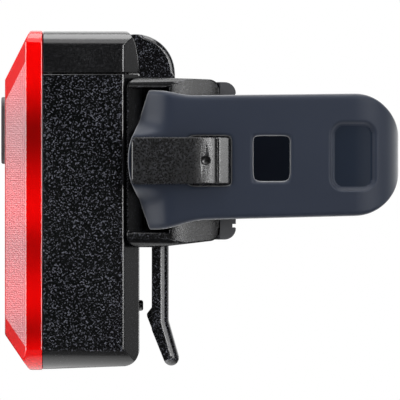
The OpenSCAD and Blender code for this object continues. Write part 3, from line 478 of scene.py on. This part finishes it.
end_hole_x = (-17.4, -9.7)
end_hole_z = (-4.6, 4.4)
square_hole_x = (-5.6, 1.0)
square_hole_z = (-3.8, 4.4)
flare_z = 5
top_flare = 1.0
top_flare_x = (-16.5, -23.0)
top_rise = 0.4
low_flare = 1.6
low_flare_x = (-14.5, -23.0)
low_rise = 0.9
wing_start = -20.9
wing_run = 4.2
wing_most = 1.3
wing_depth = 3.1
wing_curl = 1.4
wing_z = (4.8, 6.6)


def ramp(value, low, high):
    """Smooth step from 0 at low to 1 at high."""
    t = min(max((value - low) / (high - low), 0.0), 1.0)
    return t * t * (3 - 2 * t)


def between(value, span):
    """Whether a value lies inside a span."""
    return span[0] < value < span[1]


def tip_x(z):
    """The strap end's outline, from its table of points."""
    for (z0, x0), (z1, x1) in zip(tip_line, tip_line[1:]):
        if z <= z1:
            return x0 + (x1 - x0) * (z - z0) / (z1 - z0)
    return tip_line[-1][1]


def row_height(x, z):
    """A row's height: the edges flare towards the wings and rise towards the rear."""
    rear = min(max((x - wing_x) / (bend_x - wing_x), 0.0), 1.0)
    if z > flare_z:
        share = (z - flare_z) / (strap_rows[-1] - flare_z)
        z += share * (top_flare * ramp(x, *top_flare_x) + top_rise * rear)
    elif z < -flare_z:
        share = (z + flare_z) / (-strap_rows[0] - flare_z)
        z += share * (low_flare * ramp(x, *low_flare_x) - low_rise * rear)
    return z


def wing_dip(x, z):
    """How far the wings bend inwards."""
    along = min(max((wing_start - x) / wing_run, 0.0), wing_most)
    return wing_depth * along ** wing_curl * ramp(abs(z), *wing_z)


def strap_columns():
    """Columns of the loop from the near tip to the far one, as rows of (middle, outward, lip)."""
    leg = []
    for step in tip_steps:
        column = []
        for z in strap_rows:
            x = tip_x(z) + (tip_end - tip_x(z)) * step
            lip = lip_h if step == 0.0 and abs(z) < lip_half else 0.0
            column.append(((x, -leg_y + wing_dip(x, z), row_height(x, z)), (0, -1), lip))
        leg.append(column)
    for x in leg_x:
        leg.append([((x, -leg_y, row_height(x, z)), (0, -1), 0.0) for z in strap_rows])
    rear = [row_height(bend_x, z) for z in strap_rows]
    rear_mid = (rear[0] + rear[-1]) / 2
    rear_half = (rear[-1] - rear[0]) / 2
    for i in range(1, bend_steps + 1):
        turn = math.radians(90 * i / bend_steps)
        x = bend_x + bend_r * math.sin(turn)
        y = -leg_y + bend_r * (1 - math.cos(turn))
        narrow = 1 - end_r * (1 - math.cos(turn)) / rear_half
        out = (math.sin(turn), -math.cos(turn))
        leg.append([((x, y, rear_mid + (z - rear_mid) * narrow), out, 0.0) for z in rear])
    far = [[((p[0], -p[1], p[2]), (n[0], -n[1]), lip) for p, n, lip in c] for c in reversed(leg)]
    across = []
    for y in across_y:
        across.append([((p[0], y, p[2]), (1, 0), 0.0) for p, n, lip in leg[-1]])
    return leg + across + far, len(leg)


def in_hole(column, row, near_count, total):
    """Whether a cell of the loop is one of the hook holes."""
    near_leg = column < near_count
    i = column if near_leg else total - 2 - column
    first = len(tip_steps)
    if i < first or i >= first + len(leg_x) - 1:
        return False
    x0 = leg_x[i - first]
    z0 = strap_rows[row]
    if between(x0, end_hole_x) and between(z0, end_hole_z):
        return True
    return near_leg and between(x0, square_hole_x) and between(z0, square_hole_z)


columns, near_count = strap_columns()
total = len(columns)
strap_bm = bmesh.new()
outer = []
inner = []
for column in columns:
    out_line = []
    in_line = []
    for (x, y, z), (nx, ny), lip in column:
        h = strap_t / 2
        out_line.append(
            strap_bm.verts.new(((x + nx * (h + lip)) * MM, (y + ny * (h + lip)) * MM, z * MM))
        )
        in_line.append(strap_bm.verts.new(((x - nx * h) * MM, (y - ny * h) * MM, z * MM)))
    outer.append(out_line)
    inner.append(in_line)
kept = {
    (i, j)
    for i in range(total - 1)
    for j in range(len(strap_rows) - 1)
    if not in_hole(i, j, near_count, total)
}
for i, j in sorted(kept):
    strap_bm.faces.new((outer[i][j], outer[i + 1][j], outer[i + 1][j + 1], outer[i][j + 1]))
    strap_bm.faces.new((inner[i][j], inner[i][j + 1], inner[i + 1][j + 1], inner[i + 1][j]))
    for (di, dj), (a, b) in {
        (-1, 0): ((i, j), (i, j + 1)),
        (1, 0): ((i + 1, j + 1), (i + 1, j)),
        (0, -1): ((i + 1, j), (i, j)),
        (0, 1): ((i, j + 1), (i + 1, j + 1)),
    }.items():
        if (i + di, j + dj) not in kept:
            strap_bm.faces.new(
                (outer[a[0]][a[1]], outer[b[0]][b[1]], inner[b[0]][b[1]], inner[a[0]][a[1]])
            )
for v in [v for v in strap_bm.verts if not v.link_faces]:
    strap_bm.verts.remove(v)
bmesh.ops.recalc_face_normals(strap_bm, faces=strap_bm.faces[:])
strap_mesh = bpy.data.meshes.new("strap_band")
strap_bm.to_mesh(strap_mesh)
strap_bm.free()
strap_band = bpy.data.objects.new("strap_band", strap_mesh)
scene.collection.objects.link(strap_band)
soften = strap_band.modifiers.new("soften", "SUBSURF")
soften.levels = 2
soften.render_levels = 2
shaped = applied(strap_band, soften)
dimple_mid = (12.68, 0.8)
dimple_half = (4.4, 6.5)
dimple_r = 2.6
dimple_depth = 0.9
dimple_wall = 0.9
dimple_floor = -1.0
dimple_rim = (-2.2, 0.6)
dimple_side_x = 7
side_facing = -0.3
inner_facing = -0.5


def dimple_edge(x, z):
    """Distance from the dimple's rounded outline, below zero inside it."""
    dx = abs(x - dimple_mid[0]) - dimple_half[0] + dimple_r
    dz = abs(z - dimple_mid[1]) - dimple_half[1] + dimple_r
    return min(max(dx, dz), 0) + math.hypot(max(dx, 0), max(dz, 0)) - dimple_r


def on_dimple_side(x, y, facing):
    """Whether a spot is on the near leg's outer side, towards the bend."""
    return y < 0 and x > dimple_side_x and facing.y < side_facing


def on_dimple_rim(face):
    """Whether a face lies along the dimple's rim, where the mesh has to be finer."""
    x, y, z = face.calc_center_median() / MM
    return on_dimple_side(x, y, face.normal) and between(dimple_edge(x, z), dimple_rim)


def loop_outward(x, y):
    """Direction away from the middle of the strap's loop."""
    side = math.copysign(1.0, y)
    if x < bend_x:
        return Vector((0, side, 0))
    if abs(y) < leg_y - bend_r:
        return Vector((1, 0, 0))
    return Vector((x - bend_x, y - side * (leg_y - bend_r), 0)).normalized()


dimple_bm = bmesh.new()
dimple_bm.from_mesh(shaped)
rim_faces = {f for f in dimple_bm.faces if on_dimple_rim(f)}
bmesh.ops.subdivide_edges(
    dimple_bm,
    edges=[e for e in dimple_bm.edges if any(f in rim_faces for f in e.link_faces)],
    cuts=1,
    use_grid_fill=True,
)
dimple_bm.to_mesh(shaped)
dimple_bm.free()
outward = [v.normal.copy() for v in shaped.vertices]
for v, facing in zip(shaped.vertices, outward):
    x, y, z = v.co / MM
    if on_dimple_side(x, y, facing):
        v.co -= facing * dimple_depth * ramp(-dimple_edge(x, z), 0.0, dimple_wall) * MM
for f in shaped.polygons:
    f.use_smooth = True
    x, y, z = f.center / MM
    # Painted shade: faces that look into the loop get the darker inside finish.
    if f.normal.dot(loop_outward(x, y)) < inner_facing:
        f.material_index = 2
    elif on_dimple_side(x, y, f.normal) and dimple_edge(x, z) < dimple_floor:
        f.material_index = 1
strap_grain = 0.35 * MM
strap_silicone = moulded_finish(
    "strap_silicone", (0.0045, 0.009, 0.021), 0.48, strap_grain, 0.006 * MM, spread=0.08, gloss=0.24,
    bloom=0.5,
)
# Painted shade: the dimple's floor is a darker, less shiny blue-grey, for the shade in the recess.
dimple_shade = moulded_finish(
    "dimple_shade", (0.0044, 0.0084, 0.0172), 0.5, strap_grain, 0.004 * MM, spread=0.08, gloss=0.12
)
# Painted shade: a darker blue-grey for the loop's inner faces, for the shade inside the loop.
strap_inside_shade = moulded_finish(
    "strap_inside_shade", (0.0022, 0.0034, 0.0066), 0.8, strap_grain, 0.01 * MM, spread=0.08, gloss=0.05
)
settle(
    strap_band, "mount_set", "strap_rubber", "strap", strap_silicone, dimple_shade, strap_inside_shade
)


# HOUSING
# Black plastic tub, spark-textured on its flat sides and satin on its rounded edges, with a small
# round nub on its back and steep flat rear corners. The board and the cells sit in it.
spark_black = moulded_finish(
    "spark_black", deep_black, 0.2, black_grain, 0.012 * MM, gloss=0.7, painted_glint=(0.08, 0.083, 0.102)
)
satin_black = moulded_finish(
    "satin_black", (0.002, 0.0021, 0.0026), 0.23, black_grain, 0.004 * MM, gloss=1.0,
    painted_glint=(0.009, 0.0093, 0.011),
)
rear_start = -29.17
rear_split = rear_start - 0.06
rear_r = 2.7
rear_cut = 4.2
rear_flat_y = 9
rear_line_y = 15.5
rear_line_w = 0.2
behind_x = -26.2
flat_facing = 0.985


def steep_rear(p):
    """Turns the round rear corners into steep flat ones."""
    if abs(p.y) < rear_flat_y:
        return p
    t = min(max((p.x - rear_start) / rear_r, 0.0), 1.0)
    shift = rear_cut * t - rear_r * (1 - math.sqrt(1 - t * t))
    return Vector((p.x, p.y - math.copysign(shift, p.y), p.z))


def on_rear_line(a, b):
    """Whether an edge is the one that each rear corner starts from."""
    return all(abs(p.y) > rear_line_y and abs(p.x - rear_start) < rear_line_w for p in (a, b))


def on_nub_rim(a, b):
    """Whether an edge is the rim of the nub."""
    return all(p.x > behind_x for p in (a, b))


housing = rounded_copy(
    "housing",
    0.12 * MM,
    wide=[(0.35 * MM, on_rear_line), (0.4 * MM, on_nub_rim)],
    reshape=steep_rear,
    reshape_x=rear_split,
)
for f in housing.data.polygons:
    f.material_index = 0 if abs(f.normal.y) > flat_facing else 1
settle(housing, "light", "black_texture", "housing", spark_black, satin_black)


# CELL CONTACTS
# Nickel-plated contacts on the housing's floor: a coil spring under one cell and a bent plate under
# the other, each on a strip that runs to the board.
bright_steel = moulded_finish(
    "bright_steel", (0.62, 0.62, 0.6), 0.25, 0.1 * MM, 0.002 * MM, spread=0.05, metal=1.0
)
wire_sides = 10
turn_points = 24


def finish_node(node, finish):
    """Puts a finish on a solid that stays as it is."""
    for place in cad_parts[node].material_slots:
        place.material = finish


def sized_tree(name, sizes):
    """An empty tree of geometry nodes with one named input for each size."""
    tree = bpy.data.node_groups.new(name, "GeometryNodeTree")
    for size in sizes:
        tree.interface.new_socket(size, in_out="INPUT", socket_type="NodeSocketFloat")
    tree.interface.new_socket("Geometry", in_out="OUTPUT", socket_type="NodeSocketGeometry")
    return tree, tree.nodes.new("NodeGroupInput"), tree.nodes.new("NodeGroupOutput")


def joined(tree, *shapes):
    """Several shapes as one."""
    join = tree.nodes.new("GeometryNodeJoinGeometry")
    for shape in shapes:
        tree.links.new(shape, join.inputs[0])
    return join.outputs[0]


def moved(tree, shape, place=(0, 0, 0), turn=(0, 0, 0)):
    """A shape moved, and turned by degrees."""
    move = tree.nodes.new("GeometryNodeTransform")
    tree.links.new(shape, move.inputs["Geometry"])
    move.inputs["Translation"].default_value = place
    move.inputs["Rotation"].default_value = [math.radians(a) for a in turn]
    return move.outputs[0]


def coil(tree, start):
    """Round wire wound into a coil, at the sizes that the tree is given."""
    path = tree.nodes.new("GeometryNodeCurveSpiral")
    path.inputs["Resolution"].default_value = turn_points
    tree.links.new(start.outputs["Turns"], path.inputs["Rotations"])
    tree.links.new(start.outputs["Coil Radius"], path.inputs["Start Radius"])
    tree.links.new(start.outputs["Coil Radius"], path.inputs["End Radius"])
    tree.links.new(start.outputs["Height"], path.inputs["Height"])
    section = tree.nodes.new("GeometryNodeCurvePrimitiveCircle")
    section.inputs["Resolution"].default_value = wire_sides
    tree.links.new(start.outputs["Wire Radius"], section.inputs["Radius"])
    wire = tree.nodes.new("GeometryNodeCurveToMesh")
    wire.inputs["Fill Caps"].default_value = True
    tree.links.new(path.outputs["Curve"], wire.inputs["Curve"])
    tree.links.new(section.outputs["Curve"], wire.inputs["Profile Curve"])
    return wire.outputs[0]


def plate(tree, low, high):
    """A flat sheet between two corners."""
    cube = tree.nodes.new("GeometryNodeMeshCube")
    cube.inputs["Size"].default_value = [(b - a) * MM for a, b in zip(low, high)]
    return moved(tree, cube.outputs[0], [(a + b) / 2 * MM for a, b in zip(low, high)])


def grown(name, tree, end, shape, finish, sizes, smooth_to=40):
    """Closes a tree on a finish, runs it at the given sizes and returns the piece as a mesh."""
    real = tree.nodes.new("GeometryNodeRealizeInstances")
    tree.links.new(shape, real.inputs[0])
    dress = tree.nodes.new("GeometryNodeSetMaterial")
    dress.inputs["Material"].default_value = finish
    tree.links.new(real.outputs[0], dress.inputs["Geometry"])
    tree.links.new(dress.outputs[0], end.inputs[0])
    piece = bpy.data.objects.new(name, bpy.data.meshes.new(name))
    scene.collection.objects.link(piece)
    grow = piece.modifiers.new(name, "NODES")
    grow.node_group = tree
    for socket in tree.interface.items_tree:
        if socket.in_out == "INPUT":
            grow[socket.identifier] = sizes[socket.name]
    mesh = applied(piece, grow)
    for f in mesh.polygons:
        f.use_smooth = True
    mesh.set_sharp_from_angle(angle=math.radians(smooth_to))
    return piece


spring_low, spring_high = (Vector(c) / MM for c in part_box("contact_spring"))
cells_low, cells_high = (Vector(c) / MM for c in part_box("battery_cells"))
board_low, board_high = (Vector(c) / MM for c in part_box("circuit_board"))
cell_gap = 1.0
cell_x = (cells_low.x + cells_high.x) / 2
cell_y = (cells_high.y - cells_low.y + cell_gap) / 4
sheet_t = 0.4
sheet_half = 2.5
spring_r = 3.0
spring_turns = 2.5
spring_wire = 0.6
spring_base = spring_low.z + sheet_t + spring_wire / 4
spring_sizes = {
    "Coil Radius": spring_r * MM,
    "Turns": spring_turns,
    "Height": (spring_high.z - spring_wire / 2 - spring_base) * MM,
    "Wire Radius": spring_wire / 2 * MM,
}
spring_tree, spring_start, spring_end = sized_tree("contact_coil", spring_sizes)
spring_place = (cell_x * MM, -cell_y * MM, spring_base * MM)
spring_parts = joined(
    spring_tree,
    moved(spring_tree, coil(spring_tree, spring_start), spring_place),
    plate(
        spring_tree,
        (board_high.x, -cell_y - sheet_half / 2, spring_low.z),
        (cell_x, -cell_y + sheet_half / 2, spring_low.z + sheet_t),
    ),
    plate(
        spring_tree,
        (cell_x - sheet_half, -cell_y - sheet_half, spring_low.z),
        (cell_x + sheet_half, -cell_y + sheet_half, spring_low.z + sheet_t),
    ),
)
contact_coil = grown(
    "contact_coil", spring_tree, spring_end, spring_parts, bright_steel, spring_sizes
)
settle(contact_coil, "light", "bright_steel", "contact_spring")
finish_node("contact_plate", bright_steel)


# CIRCUIT BOARD
# Green glass-fibre board with the three LEDs and the switch soldered on its front. It lies against
# the bulkhead between the cells and the lens.
board_green = moulded_finish(
    "board_green", (0.012, 0.11, 0.035), 0.35, 0.5 * MM, 0.004 * MM, spread=0.25
)
led_resin = moulded_finish("led_resin", (0.75, 0.62, 0.32), 0.2, 0.3 * MM, 0.002 * MM, spread=0.08)
switch_steel = moulded_finish(
    "switch_steel", (0.5, 0.5, 0.5), 0.35, 0.1 * MM, 0.002 * MM, spread=0.06, metal=1.0
)
switch_black = moulded_finish("switch_black", (0.012, 0.012, 0.013), 0.4, 0.1 * MM, 0.003 * MM)
finish_node("circuit_board", board_green)
finish_node("leds", led_resin)
finish_node("tact_switch", switch_steel)
finish_node("switch_plunger", switch_black)


# BOARD SCREWS
# Four slotted pan-head screws of plated steel. They are driven in from the front and hold
# the board and the reflector tray.
screws_low, screws_high = (Vector(c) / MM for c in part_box("board_screws"))
screw_head_d = 2.8
screw_head_t = 0.8
screw_slot_w = 0.4
screw_d = 1.6
screw_sides = 28
screw_sizes = {
    "Across": (screws_high.y - screws_low.y - screw_head_d) * MM,
    "Along": (screws_high.z - screws_low.z - screw_head_d) * MM,
    "Head Radius": screw_head_d / 2 * MM,
    "Shank Radius": screw_d / 2 * MM,
}
screw_tree, screw_start, screw_end = sized_tree("board_screw_set", screw_sizes)


def turned_bar(tree, radius, length, middle):
    """A round bar along X with its middle at a given X."""
    bar = tree.nodes.new("GeometryNodeMeshCylinder")
    bar.inputs["Vertices"].default_value = screw_sides
    bar.inputs["Depth"].default_value = length * MM
    tree.links.new(radius, bar.inputs["Radius"])
    return moved(tree, bar.outputs["Mesh"], (middle * MM, 0, 0), (0, 90, 0))


shank_len = screws_high.x - screws_low.x - screw_head_t
screw_head = turned_bar(
    screw_tree, screw_start.outputs["Head Radius"], screw_head_t, screw_head_t / 2
)
screw_slot = screw_tree.nodes.new("GeometryNodeMeshCube")
screw_slot.inputs["Size"].default_value = (screw_head_t * MM, 2 * screw_head_d * MM, screw_slot_w * MM)
slotted = screw_tree.nodes.new("GeometryNodeMeshBoolean")
slotted.operation = "DIFFERENCE"
screw_tree.links.new(screw_head, slotted.inputs[0])
screw_tree.links.new(screw_slot.outputs[0], slotted.inputs[1])
screw_shank = turned_bar(
    screw_tree, screw_start.outputs["Shank Radius"], shank_len, screw_head_t + shank_len / 2
)
corners = screw_tree.nodes.new("GeometryNodeMeshGrid")
corners.inputs["Vertices X"].default_value = 2
corners.inputs["Vertices Y"].default_value = 2
screw_tree.links.new(screw_start.outputs["Along"], corners.inputs["Size X"])
screw_tree.links.new(screw_start.outputs["Across"], corners.inputs["Size Y"])
screw_mid = (screws_low + screws_high) / 2
screw_places = moved(
    screw_tree, corners.outputs[0], (screws_low.x * MM, screw_mid.y * MM, screw_mid.z * MM), (0, 90, 0)
)
screw_copies = screw_tree.nodes.new("GeometryNodeInstanceOnPoints")
screw_tree.links.new(screw_places, screw_copies.inputs["Points"])
screw_tree.links.new(
    joined(screw_tree, slotted.outputs[0], screw_shank), screw_copies.inputs["Instance"]
)
screws = grown(
    "board_screw_set", screw_tree, screw_end, screw_copies.outputs[0], bright_steel, screw_sizes
)
settle(screws, "light", "bright_steel", "board_screws")


# LIGHT GUIDE
# Clear acrylic bar, moulded in one piece. It stands over the LEDs and fills the window of the
# reflector tray.
swirl_scale = 200


def clear_plastic(name, colour, rough, through):
    """Clear plastic with faint swirls in its colour and its polish."""
    finish = bpy.data.materials.new(name)
    finish.use_nodes = True
    tree = finish.node_tree
    body = tree.nodes["Principled BSDF"]
    body.inputs["IOR"].default_value = 1.49
    body.inputs["Transmission Weight"].default_value = through
    place = tree.nodes.new("ShaderNodeTexCoord")
    swirl = tree.nodes.new("ShaderNodeTexNoise")
    swirl.inputs["Scale"].default_value = swirl_scale
    swirl.inputs["Detail"].default_value = 2
    tree.links.new(place.outputs["Object"], swirl.inputs["Vector"])
    tint = colour_mix(tree, swirl.outputs["Fac"], [c * 0.85 for c in colour], colour)
    tree.links.new(tint.outputs[2], body.inputs["Base Color"])
    polish = ranged(tree, swirl.outputs["Fac"], 0.0, 1.0, rough * 0.7, rough * 1.3)
    tree.links.new(polish, body.inputs["Roughness"])
    return finish


finish_node("light_guide", clear_plastic("clear_guide", (0.95, 0.95, 0.95), 0.06, 0.9))


# REFLEX INSERT
# Red reflector tray behind the lens, moulded with rows of small pyramids that throw light back.
# It is screwed on the board and leaves windows for the key and the light guide.
red_reflex = clear_plastic("red_reflex", (0.75, 0.02, 0.025), 0.15, 0.3)
tray = rounded_copy("reflex_insert", 0.15 * MM)
settle(tray, "light", "red_reflex", "reflex_insert", red_reflex)
tray_low, tray_high = (Vector(c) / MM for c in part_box("reflex_insert"))
guide_low, guide_high = (Vector(c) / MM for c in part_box("light_guide"))
key_low, key_high = (Vector(c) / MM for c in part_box("push_button"))
prism_step = 1.0
prism_margin = 0.8
prism_h = 0.2
prism_reach = 0.68
window_gap = 1
prism_rows = int((tray_high.z - tray_low.z - 2 * prism_margin) / prism_step) + 1
prism_files = int((tray_high.y - tray_low.y - 2 * prism_margin) / prism_step) + 1
prism_sizes = {
    "Field Height": (prism_rows - 1) * prism_step * MM,
    "Field Width": (prism_files - 1) * prism_step * MM,
    "Prism Radius": prism_step * prism_reach * MM,
    "Prism Height": prism_h * MM,
}
prism_tree, prism_start, prism_end = sized_tree("reflex_prisms", prism_sizes)
field = prism_tree.nodes.new("GeometryNodeMeshGrid")
field.inputs["Vertices X"].default_value = prism_rows
field.inputs["Vertices Y"].default_value = prism_files
prism_tree.links.new(prism_start.outputs["Field Height"], field.inputs["Size X"])
prism_tree.links.new(prism_start.outputs["Field Width"], field.inputs["Size Y"])
field_place = moved(
    prism_tree,
    field.outputs[0],
    (tray_low.x * MM, 0, (tray_low.z + tray_high.z) / 2 * MM),
    (0, 90, 0),
)
where = prism_tree.nodes.new("GeometryNodeInputPosition")
where_xyz = prism_tree.nodes.new("ShaderNodeSeparateXYZ")
prism_tree.links.new(where.outputs[0], where_xyz.inputs[0])


def within(tree, value, low, high):
    """Whether a coordinate lies between two values."""
    middle = tree.nodes.new("FunctionNodeCompare")
    middle.data_type = "FLOAT"
    middle.operation = "EQUAL"
    tree.links.new(value, middle.inputs["A"])
    middle.inputs["B"].default_value = (low + high) / 2 * MM
    middle.inputs["Epsilon"].default_value = (high - low) / 2 * MM
    return middle.outputs[0]


def logic(tree, operation, a, b):
    """Two conditions as one."""
    gate = tree.nodes.new("FunctionNodeBooleanMath")
    gate.operation = operation
    tree.links.new(a, gate.inputs[0])
    tree.links.new(b, gate.inputs[1])
    return gate.outputs[0]


windows = []
for low, high in ((guide_low, guide_high), (key_low, key_high)):
    windows.append(
        logic(
            prism_tree,
            "AND",
            within(prism_tree, where_xyz.outputs["Y"], low.y - window_gap, high.y + window_gap),
            within(prism_tree, where_xyz.outputs["Z"], low.z - window_gap, high.z + window_gap),
        )
    )
cleared = prism_tree.nodes.new("GeometryNodeDeleteGeometry")
prism_tree.links.new(field_place, cleared.inputs["Geometry"])
prism_tree.links.new(logic(prism_tree, "OR", *windows), cleared.inputs["Selection"])
prism = prism_tree.nodes.new("GeometryNodeMeshCone")
prism.inputs["Vertices"].default_value = 4
prism.inputs["Radius Top"].default_value = 0
prism_tree.links.new(prism_start.outputs["Prism Radius"], prism.inputs["Radius Bottom"])
prism_tree.links.new(prism_start.outputs["Prism Height"], prism.inputs["Depth"])
prism_square = moved(prism_tree, prism.outputs["Mesh"], turn=(0, 0, 45))
prism_copies = prism_tree.nodes.new("GeometryNodeInstanceOnPoints")
prism_tree.links.new(cleared.outputs[0], prism_copies.inputs["Points"])
prism_tree.links.new(
    moved(prism_tree, prism_square, turn=(0, -90, 0)), prism_copies.inputs["Instance"]
)
prisms = grown(
    "reflex_prisms", prism_tree, prism_end, prism_copies.outputs[0], red_reflex, prism_sizes, smooth_to=1
)
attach(prisms, "light")


# PUSH BUTTON
# Dark grey key that stands proud of the lens, with a rubber boot behind it that keeps water out.
# It works the switch on the board.
seal_rubber = moulded_finish("seal_rubber", (0.02, 0.02, 0.021), 0.6, 0.2 * MM, 0.006 * MM)
button_grey = moulded_finish("button_grey", (0.06, 0.058, 0.06), 0.45, 0.2 * MM, 0.01 * MM)
settle(rounded_copy("button_boot", 0.15 * MM), "light", "seal_rubber", "button_boot", seal_rubber)
settle(rounded_copy("push_button", 0.25 * MM), "button", "button_grey", "push_button", button_grey)


# LENS
# Red clear cover on a rubber ring, bonded on the housing's front. Its side bevels carry fine prisms that
# make them look frosted, a plain margin follows the sloped edges, and the front is clear. Along its
# height, the red of the sides and bevels is painted lighter and darker where light gathers inside it.
settle(rounded_copy("lens_seal", 0.1 * MM), "light", "seal_rubber", "lens_seal", seal_rubber)
zone_foot = -38 * MM
zone_top = 24 * MM
# Painted light: where along the lens's height the red is brighter or darker.
lens_painted_light = [
    (0.04, 0.95), (0.11, 0.35), (0.21, 0.85), (0.36, 0.35), (0.47, 0.9), (0.7, 0.1), (0.88, 1.0)
]


def lens_finish(name, dark, light, rough, through, gloss=1.0):
    """Red plastic with painted light: brighter and darker bands of red along its height stand for where
    light gathers inside it.
    """
    finish = bpy.data.materials.new(name)
    finish.use_nodes = True
    tree = finish.node_tree
    body = tree.nodes["Principled BSDF"]
    body.inputs["IOR"].default_value = 1.5
    body.inputs["Specular IOR Level"].default_value = gloss
    body.inputs["Transmission Weight"].default_value = through
    body.inputs["Roughness"].default_value = rough
    place = tree.nodes.new("ShaderNodeTexCoord")
    height = tree.nodes.new("ShaderNodeSeparateXYZ")
    tree.links.new(place.outputs["Object"], height.inputs[0])
    along = ranged(tree, height.outputs["Z"], zone_foot, zone_top)
    light_bands = tree.nodes.new("ShaderNodeValToRGB")
    light_bands.color_ramp.interpolation = "EASE"
    stops = light_bands.color_ramp.elements
    for i, (spot, bright) in enumerate(lens_painted_light):
        stop = stops[i] if i < 2 else stops.new(spot)
        stop.position = spot
        stop.color = (bright, bright, bright, 1)
    tree.links.new(along, light_bands.inputs["Fac"])
    tint = colour_mix(tree, light_bands.outputs["Color"], dark, light)
    tree.links.new(tint.outputs[2], body.inputs["Base Color"])
    return finish


red_clear = lens_finish("red_clear", (0.15, 0.0006, 0.0006), (0.77, 0.001, 0.001), 0.06, 0.3)
red_frosted = lens_finish("red_frosted", (0.5, 0.2, 0.22), (0.85, 0.16, 0.18), 0.35, 0.35)
red_front = clear_plastic("red_front", (0.8, 0.012, 0.012), 0.05, 0.6)
red_margin = lens_finish(
    "red_margin", (0.45, 0.003, 0.003), (0.6, 0.004, 0.005), 0.4, 0.2, gloss=0.03
)
frost_step = 0.38 * MM
frost_depth = 0.12 * MM
frost_nodes = red_frosted.node_tree.nodes
frost_links = red_frosted.node_tree.links
frost_place = frost_nodes.new("ShaderNodeTexCoord")
frost_dots = frost_nodes.new("ShaderNodeTexVoronoi")
frost_dots.inputs["Scale"].default_value = 1 / frost_step
frost_dots.inputs["Randomness"].default_value = 0.5
frost_links.new(frost_place.outputs["Object"], frost_dots.inputs["Vector"])
frost_relief = frost_nodes.new("ShaderNodeBump")
frost_relief.inputs["Distance"].default_value = frost_depth
frost_links.new(frost_dots.outputs["Distance"], frost_relief.inputs["Height"])
frost_links.new(frost_relief.outputs["Normal"], frost_nodes["Principled BSDF"].inputs["Normal"])

lens_low, lens_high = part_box("lens")
top_slope = (4.7 * MM, 9.0 * MM)
low_slope = (4.6 * MM, -6.5 * MM)
margin_w = 1.9 * MM
bevel_side = 0.55
bevel_front = -0.6
front_facing = 0.98
slopes = []
for corner_z, (run, rise) in ((lens_high[2], top_slope), (lens_low[2], low_slope)):
    inward = Vector((abs(rise), 0, -math.copysign(run, rise))).normalized()
    slopes.append((Vector((lens_low[0], 0, corner_z - rise)) + inward * margin_w, inward))
lens = rounded_copy("lens", 0.3 * MM, cuts=slopes)
for f in lens.data.polygons:
    on_bevel = abs(f.normal.y) > bevel_side and f.normal.x < bevel_front
    past_margin = all((f.center - spot).dot(inward) > 0 for spot, inward in slopes)
    if on_bevel:
        f.material_index = 1 if past_margin else 3
    elif abs(f.normal.x) > front_facing:
        f.material_index = 2
    else:
        f.material_index = 0
settle(lens, "light", "red_lens", "lens", red_clear, red_frosted, red_front, red_margin)


# BATTERY CELLS
# Two AAA cells side by side, nose up and nose down, each a steel can in a printed film sleeve.
# They stand on the contacts in the housing and are held down by the cap.
cell_sleeve = moulded_finish(
    "cell_sleeve", (0.16, 0.13, 0.05), 0.3, 0.6 * MM, 0.003 * MM, spread=0.1
)
can_end_facing = 0.3
cells = rounded_copy("battery_cells", 0.35 * MM, steps=3)
for f in cells.data.polygons:
    f.material_index = 1 if abs(f.normal.z) > can_end_facing else 0
settle(cells, "light", "cell_sleeve", "battery_cells", cell_sleeve, bright_steel)


# TOP CAP
# Satin black cap that closes the cells' chamber. It carries the contact bridge and a rubber ring on
# its plug, and the textured hood for the clip at its back.
finish_node("cap_bridge", bright_steel)
settle(rounded_copy("cap_seal", 0.2 * MM), "cap", "seal_rubber", "cap_seal", seal_rubber)
hood_side = 8.6
hood_foot_z = 15.4
hood_zone_y = 9
hood_root_x = -29.5
hood_front_x = -26.6
side_w = 0.02


def on_hood_rim(a, b):
    """Whether an edge is the rim of the hood's flat side."""
    return all(
        abs(abs(p.y) - hood_side) < side_w and p.z > hood_foot_z and p.x > behind_x for p in (a, b)
    )


top_cap = rounded_copy(
    "top_cap",
    0.12 * MM,
    wide=[(0.9 * MM, on_hood_rim), (0.35 * MM, on_rear_line)],
    reshape=steep_rear,
    reshape_x=rear_split,
)
for f in top_cap.data.polygons:
    at_root = abs(f.center.y) < hood_zone_y * MM and f.center.x > hood_root_x * MM
    f.material_index = 1 if at_root or f.center.x > hood_front_x * MM else 0
settle(top_cap, "cap", "black_satin", "top_cap", satin_black, spark_black)


# BELT CLIP
# Black spring clip with a tooth and a bent tail. It hangs on a steel pin inside the hood, and a
# small torsion spring round the pin presses it towards the light.
clip_half = 6.5
clip_rear_x = -21.8


def on_clip_rear(a, b):
    """Whether an edge runs down the clip's rear side."""
    return all(abs(abs(p.y) - clip_half) < side_w and p.x > clip_rear_x for p in (a, b))


belt_clip = rounded_copy("belt_clip", 0.1 * MM, wide=[(1.75 * MM, on_clip_rear)])
settle(belt_clip, "clip", "black_texture", "belt_clip", spark_black)
finish_node("clip_pin", bright_steel)
pin_low, pin_high = (Vector(c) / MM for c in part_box("clip_pin"))
torsion_low, torsion_high = (Vector(c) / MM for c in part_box("clip_spring"))
torsion_wire = 0.45
torsion_turns = 3.0
torsion_sizes = {
    "Coil Radius": ((torsion_high.z - torsion_low.z) - torsion_wire) / 2 * MM,
    "Turns": torsion_turns,
    "Height": (torsion_high.y - torsion_low.y - torsion_wire) * MM,
    "Wire Radius": torsion_wire / 2 * MM,
}
torsion_tree, torsion_start, torsion_end = sized_tree("clip_coil", torsion_sizes)
torsion_place = (
    (pin_low.x + pin_high.x) / 2 * MM,
    (torsion_high.y - torsion_wire / 2) * MM,
    (pin_low.z + pin_high.z) / 2 * MM,
)
torsion_coil = moved(
    torsion_tree, coil(torsion_tree, torsion_start), torsion_place, (90, 0, 0)
)
clip_coil = grown(
    "clip_coil", torsion_tree, torsion_end, torsion_coil, bright_steel, torsion_sizes
)
settle(clip_coil, "cap", "bright_steel", "clip_spring")
